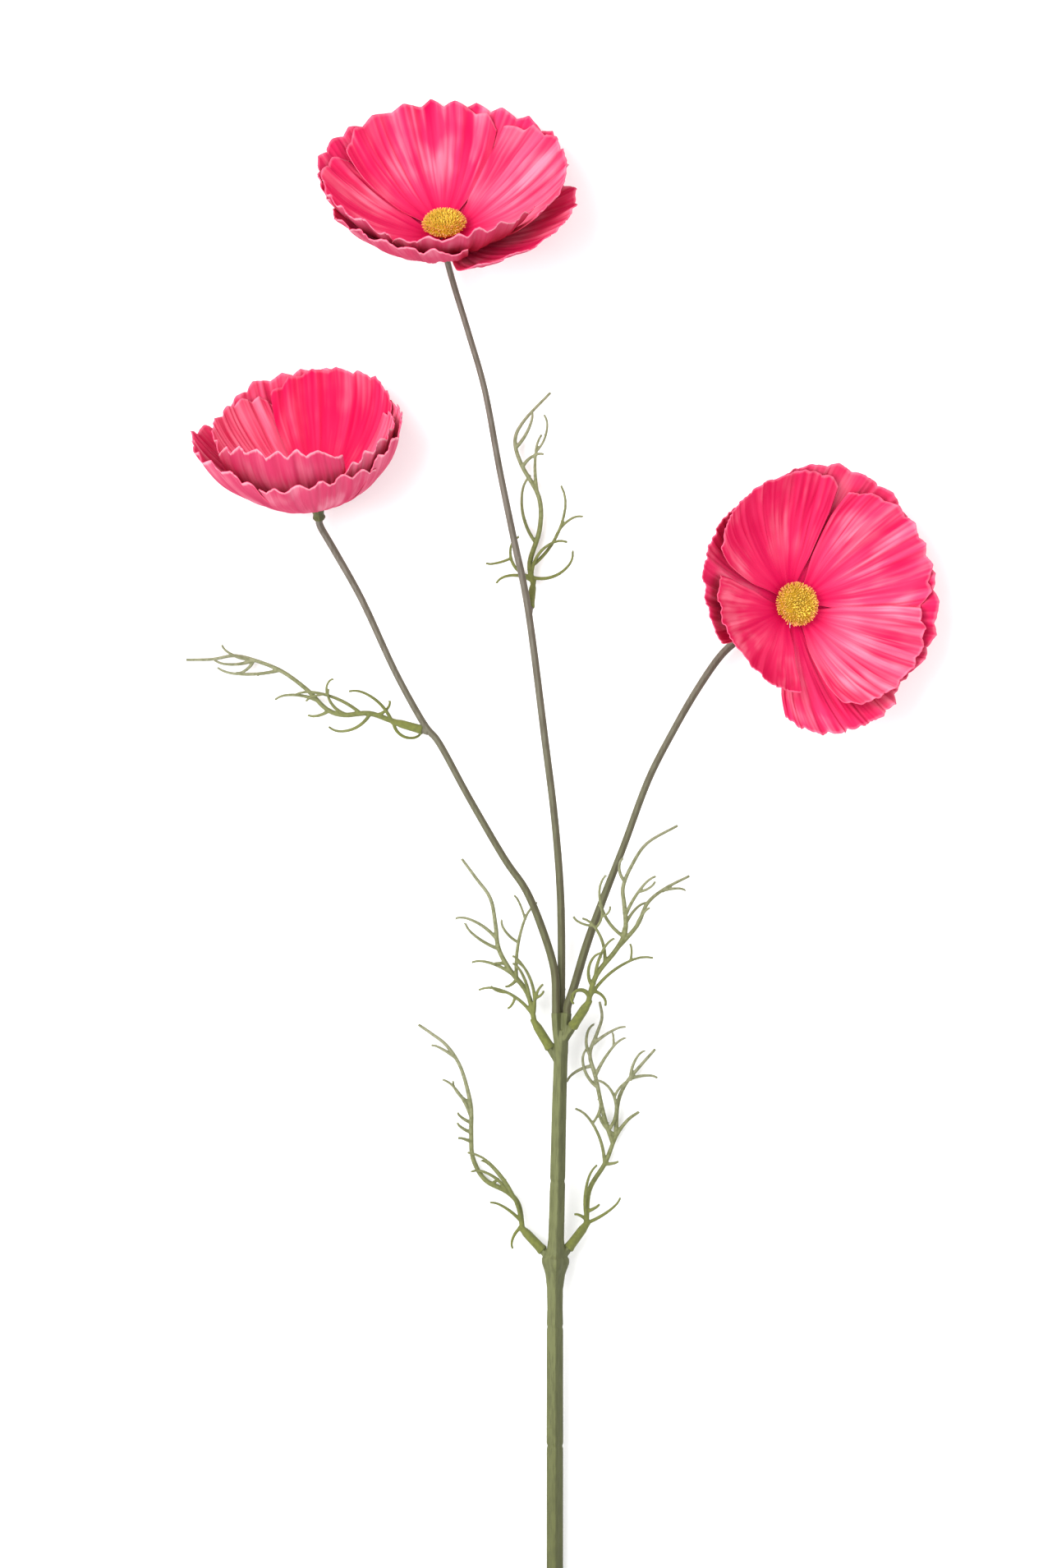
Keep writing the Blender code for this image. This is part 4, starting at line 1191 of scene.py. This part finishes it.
RIGHT = Bloom("right", (81.0, 328.1, 13.0), (0.30, 0.12, 0.95), base_angle=8, tip_angle=54,
              base_swing=0, tip_swing=6, swing_at=200, seed=51, petals=(
    Petal(117, Ring.INNER, 51, 37, 0, -0.3), Petal(34, Ring.INNER, 50, 33, 0, 0.1),
    Petal(-38, Ring.INNER, 49, 32, 1, 0.45), Petal(-144, Ring.INNER, 44, 42, 3, -0.3),
    Petal(75, Ring.OUTER, 51, 38, 0, 0.2), Petal(-5, Ring.OUTER, 49, 37, 0, -0.3),
    Petal(-71, Ring.OUTER, 49.5, 28, 4), Petal(163, Ring.OUTER, 46, 41)))

# Leaves: name, root, aim of the plug, bare lug, sleeve radius, strands, then threads as
# (strand, how far along, heading, length, turn, rise).
LEAVES = (
    ("a", (-8.8, 325.5, 12.0), (0.10, 0.80, -0.60), 4.4, 1.45, (
        ((-8.6, 343.5, 3.4), (-5.2, 355, 3.4), (-5.5, 366, 4.2), (-11.5, 377, 5),
         (-13.7, 385.5, 4.4), (-10.4, 392.5, 3.6), (-1.5, 402, 2.4)),), (
        (0, 0.20, 112, 25, -30, 1.2), (0, 0.08, 52, 32, 30, 4.0), (2, 0.40, 57, 13, -30, 1.5),
        (0, 0.04, 70, 19, -50, 5.5), (0, 0.03, 5, 19, 50, 3.0), (0, 0.43, 92, 21, -6, 3.0),
        (6, 0.70, 60, 14, 30, 1.0), (0, 0.68, 58, 14, 14, 2.4), (0, 0.58, 48, 9, -30, 2.0),
        (0, 0.03, 146, 19, -72, -0.6), (10, 0.55, 196, 9, -4, 0.4), (0, 0.01, 160, 14, 40, -1.4))),
    ("b", (-43.4, 285.2, 11.7), (-0.90, 0.26, -0.34), 3.6, 1.6, (
        ((-57, 289.3, 6.2), (-64, 291.6, 5.2), (-72.5, 291, 4.8), (-78.5, 293, 5.2),
         (-85, 299.5, 5.6), (-93.5, 305.8, 5.4), (-102, 309.4, 4.6), (-110, 311.4, 3.8),
         (-118, 310.2, 2.8), (-127, 310.0, 1.8)),), (
        (0, 0.22, 148, 12, -40, 3.0), (1, 0.85, 190, 8, 10, 1.0), (1, 0.80, 100, 7, -50, 1.4),
        (0, 0.36, 165, 16, 20, -2.0), (0, 0.02, 128, 19, 30, 4.5), (0, 0.10, 20, 8, 40, 2.4),
        (0, 0.01, -60, 14, 80, -1.6), (0, 0.12, 222, 17, -45, -2.4), (0, 0.30, 205, 8, -20, -1.4),
        (0, 0.16, 152, 25, 20, 1.8), (0, 0.58, 184, 22, -8, -2.4), (0, 0.70, 190, 14, -16, 1.4),
        (0, 0.72, 165, 11, -20, 2.6), (0, 0.70, 232, 8, -30, -1.8))),
    ("c", (1.0, 172.5, 11.4), (-0.52, 0.85, -0.10), 6.4, 1.75, (
        ((-9.4, 195.5, 9.4), (-15.5, 203.5, 8.4), (-19.4, 211, 7.8), (-20.4, 219, 7.2),
         (-22.2, 228, 6.4), (-27.2, 235, 5.2), (-32, 241.5, 3.6)),), (
        (0, 0.50, 140, 17, 20, -1.6), (0, 0.45, 150, 15, -10, 2.2), (0, 0.28, 152, 16, 16, -2.4),
        (0, 0.36, 180, 5, 0, 1.0), (0, 0.26, 226, 5, -20, -1.0), (0, 0.04, 138, 22, 30, -3.4),
        (6, 0.55, 170, 6, -20, 1.0), (6, 0.40, 250, 5, -20, -0.8), (0, 0.03, 92, 21, 24, 3.4),
        (9, 0.55, 118, 12, 8, 1.8), (0, 0.10, 104, 16, 12, 5.2), (0, 0.0, 88, 14, -16, 2.2),
        (12, 0.6, 30, 4, 20, 0.6), (0, 0.26, 84, 28, -12, 1.2), (14, 0.45, 140, 10, -20, 1.4),
        (14, 0.75, 112, 9, 0, 1.0))),
    ("d", (2.6, 179.0, 12.2), (0.50, 0.78, 0.38), 8.2, 1.75, (
        ((14, 202, 19.6), (21, 211, 19.4), (24, 217.5, 18.6), (23.6, 226, 17.6),
         (23.2, 232, 16.6), (26, 239, 15.2), (31.5, 247, 13.4), (42, 253, 11)),
        ((21, 211, 19.4), (28, 219, 18.2), (31.5, 226.5, 16.8), (37.5, 231.5, 15.2),
         (46, 235.8, 13))), (
        (0, 0.36, 128, 24, -40, 2.0), (0, 0.20, 98, 19, 30, 4.2), (3, 0.75, 168, 8, -20, 1.0),
        (3, 0.70, 60, 9, 40, 1.0), (0, 0.62, 118, 9, -40, 2.0), (5, 0.5, 30, 5, 40, 0.6),
        (0, 0.45, 60, 18, -8, 3.0), (0, 0.36, 68, 15, -24, -3.0), (8, 0.55, 20, 7, 20, 0.4),
        (1, 0.28, 62, 8, -10, 2.0), (1, 0.70, 8, 8, -6, -1.0), (0, 0.03, 46, 27, -24, -3.6),
        (13, 0.70, 84, 6, 10, 0.6), (0, 0.06, -20, 8, -50, -2.0), (0, 0.0, 108, 13, 150, 2.2),
        (0, 0.02, 118, 10, 120, 3.6), (0, 0.08, 104, 14, -50, 4.4), (0, 0.12, 76, 16, -16, 5.0))),
    ("e", (-0.6, 103.5, 9.0), (-0.68, 0.70, -0.24), 6.6, 1.75, (
        ((-12.5, 122.5, 3.6), (-16.5, 127, 2.8), (-24, 131, 2.6), (-28.2, 138.5, 3),
         (-28.8, 147, 3.4), (-28.8, 155.5, 3.8), (-30.4, 163.5, 3.8), (-33, 171, 3.4),
         (-37.4, 177.4, 2.8), (-42.6, 181.4, 2.2), (-47, 184.4, 1.6)),), (
        (0, 0.54, 118, 17, 12, 2.0), (0, 0.60, 140, 10, -20, 0.6), (0, 0.52, 150, 6, -10, 1.6),
        (0, 0.48, 152, 6, -10, 1.2), (0, 0.44, 160, 5, 0, 2.0), (0, 0.80, 150, 9, 0, 1.2),
        (0, 0.02, 112, 33, 24, 6.4), (7, 0.30, 128, 17, 0, 2.0), (0, 0.16, 132, 16, 28, 2.2),
        (0, 0.03, 140, 13, 10, 3.0), (0, 0.01, 230, 9, 30, -0.8), (0, 0.24, 40, 3, 0, 1.0))),
    ("f", (1.2, 103.5, 9.0), (0.60, 0.78, -0.20), 7.0, 1.75, (
        ((11.8, 127.5, 3.8), (17.4, 137, 3.2), (21, 146, 3), (25, 151.5, 2.6), (29, 154.4, 1.8)),
        ((20, 143.4, 3.1), (16.8, 153.5, 5), (14, 166.5, 6.6), (12, 174.5, 6.6),
         (14.4, 181.4, 5.8), (16.2, 187, 4.6), (15.4, 192.4, 3.4)),
        ((21, 146, 3), (21.6, 157, 3), (24.3, 164, 3.2), (29.2, 170, 2.8), (34.6, 176, 1.8))), (
        (1, 0.62, 104, 12, -36, 1.6), (1, 0.70, 34, 13, -6, 1.0), (1, 0.48, 58, 17, -6, 1.2),
        (5, 0.70, 92, 5, 0, 0.6), (1, 0.10, 74, 22, 60, 5.0), (7, 0.55, 58, 9, -20, 1.0),
        (1, 0.40, 128, 15, -36, 1.4), (1, 0.55, 200, 11, 20, -2.2), (0, 0.50, 104, 23, 22, 3.0),
        (11, 0.65, 62, 9, 20, 1.0), (0, 0.74, 138, 12, -30, 3.4), (2, 0.62, 76, 11, -20, 2.0),
        (2, 0.60, 12, 10, -14, -1.2), (0, 0.50, 10, 5, 0, 1.0), (0, 0.04, 90, 20, -16, 3.4),
        (0, 0.03, 140, 5, 20, 1.0), (0, 0.10, 30, 5, 0, 1.2), (0, 0.01, 30, 15, 8, -1.0))),
)


# ---- studio ----------------------------------------------------------------------------------
@dataclass
class Studio:
    """Pale table, soft lights and a camera that looks straight down."""
    middle: Tuple[float, float] = (-11.48, 267.26)
    height: float = 1800.0
    view_height: float = 534.52
    focus_level: float = 20.0

    def build(self) -> None:
        """Build the floor, the lights, the sky and the camera."""
        self.floor()
        self.sky()
        self.light("key_softbox", (-0.75, 0.35, 1.35), 1.0, 22.0)
        self.light("fill_softbox", (0.8, -0.3, 1.3), 1.2, 6.0)
        self.camera()

    def floor(self) -> None:
        """Lay a plain pale table under the spray."""
        bm = bmesh.new()
        bmesh.ops.create_grid(bm, x_segments=2, y_segments=2, size=3.0)
        table = new_object("pale_table")
        bm.to_mesh(table.data)
        bm.free()
        paint = bpy.data.materials.new("matt_white_paint")
        paint.use_nodes = True
        shader = paint.node_tree.nodes["Principled BSDF"]
        shader.inputs["Base Color"].default_value = linear("#fdfdfd")
        shader.inputs["Roughness"].default_value = 0.9
        shader.inputs["Specular IOR Level"].default_value = 0.1
        table.data.materials.append(paint)

    def sky(self) -> None:
        """Light everything evenly from a white surround."""
        world = bpy.data.worlds.new("white_surround")
        bpy.context.scene.world = world
        world.use_nodes = True
        back = world.node_tree.nodes["Background"]
        back.inputs[0].default_value = (1.0, 1.0, 1.0, 1.0)
        back.inputs[1].default_value = 0.98

    def light(self, name: str, spot: Tuple[float, float, float], size: float,
              power: float) -> None:
        """Add a square softbox that faces the middle of the spray.

        Args:
            name: the light's name.
            spot: where it hangs, in metres.
            size: the side of its square, in metres.
            power: its power in watts.
        """
        lamp = bpy.data.lights.new(name, "AREA")
        lamp.energy = power
        lamp.size = size
        holder = bpy.data.objects.new(name, lamp)
        bpy.context.scene.collection.objects.link(holder)
        holder.location = spot
        aim = Vector((0.0, 0.05, 0.0)) - Vector(spot)
        holder.rotation_euler = aim.to_track_quat("-Z", "Y").to_euler()

    def camera(self) -> None:
        """Hang the camera over the spray, with its lens worked out from the view's height."""
        lens = bpy.data.cameras.new("camera")
        lens.sensor_width = 36.0
        lens.lens = 36.0 * (self.height - self.focus_level) / self.view_height
        lens.clip_end = 20.0
        holder = bpy.data.objects.new("camera", lens)
        bpy.context.scene.collection.objects.link(holder)
        holder.location = Vector((*self.middle, self.height)) * MM + Vector((SHIFT.x, SHIFT.y, 0))
        bpy.context.scene.camera = holder
        bpy.context.scene.view_settings.view_transform = "Standard"


def main() -> None:
    """Build the studio and every piece of the spray, and report each piece."""
    logging.basicConfig(level=logging.INFO)
    Studio().build()
    cloth = (FRONT.make(), BACK.make(), EDGE.make())
    trees = (petal_tree(), tuft_tree())
    tuft, ground = TUFT.make(), DOME.make()
    for bloom in (TOP, LEFT, RIGHT):
        bloom.build(trees, cloth, tuft, ground)
    skin = skin_tree()
    hole = (CUT_END - STEM_AIM * 2, CUT_END + STEM_AIM * WIRE_HOLE_LONG, WIRE_HOLE_RADIUS)
    MainStem("main_stem", "moulded_stem", Slot.STEM, voxel=0.3, relax=3, sides=24,
             ridge_depth=0.11, nub_spacing=5.0, nub_size=0.35, seed=3, bore=hole
             ).build(skin, STEM_GREEN.make())
    branch, calyx, leaf = BRANCH_GREEN.make(), CALYX_GREEN.make(), LEAF_GREEN.make()
    for bloom in (TOP, LEFT, RIGHT):
        Branch(f"branch_{bloom.name}", f"moulded_branch_{bloom.name}", Slot.BRANCH,
               voxel=0.22, relax=3, ridge_depth=0.05, nub_spacing=4.0, nub_size=0.28,
               seed=bloom.seed, bloom=bloom).build(skin, branch)
        Calyx(f"calyx_{bloom.name}", f"moulded_calyx_{bloom.name}", Slot.CALYX,
              voxel=0.16, relax=3, sides=24, ridges=8.0, ridge_depth=0.04, nub_spacing=2.0,
              nub_size=0.2, seed=bloom.seed, bloom=bloom).build(skin, calyx)
    for number, (name, start, aim, bare, sleeve, strands, threads) in enumerate(LEAVES):
        LeafSprig(f"leaf_{name}", f"leaf_sprig_{name}", Slot.LEAF, voxel=0.21, relax=2,
                  sides=10, nub_spacing=7.0, nub_size=0.3, seed=60 + number, start=start, aim=aim,
                  bare=bare, sleeve=sleeve, strands=strands, threads=threads
                  ).build(skin, leaf)
    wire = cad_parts["core_wire"]
    wire.data.materials.clear()
    wire.data.materials.append(WIRE_STEEL.make())


if __name__ == "__main__":
    main()
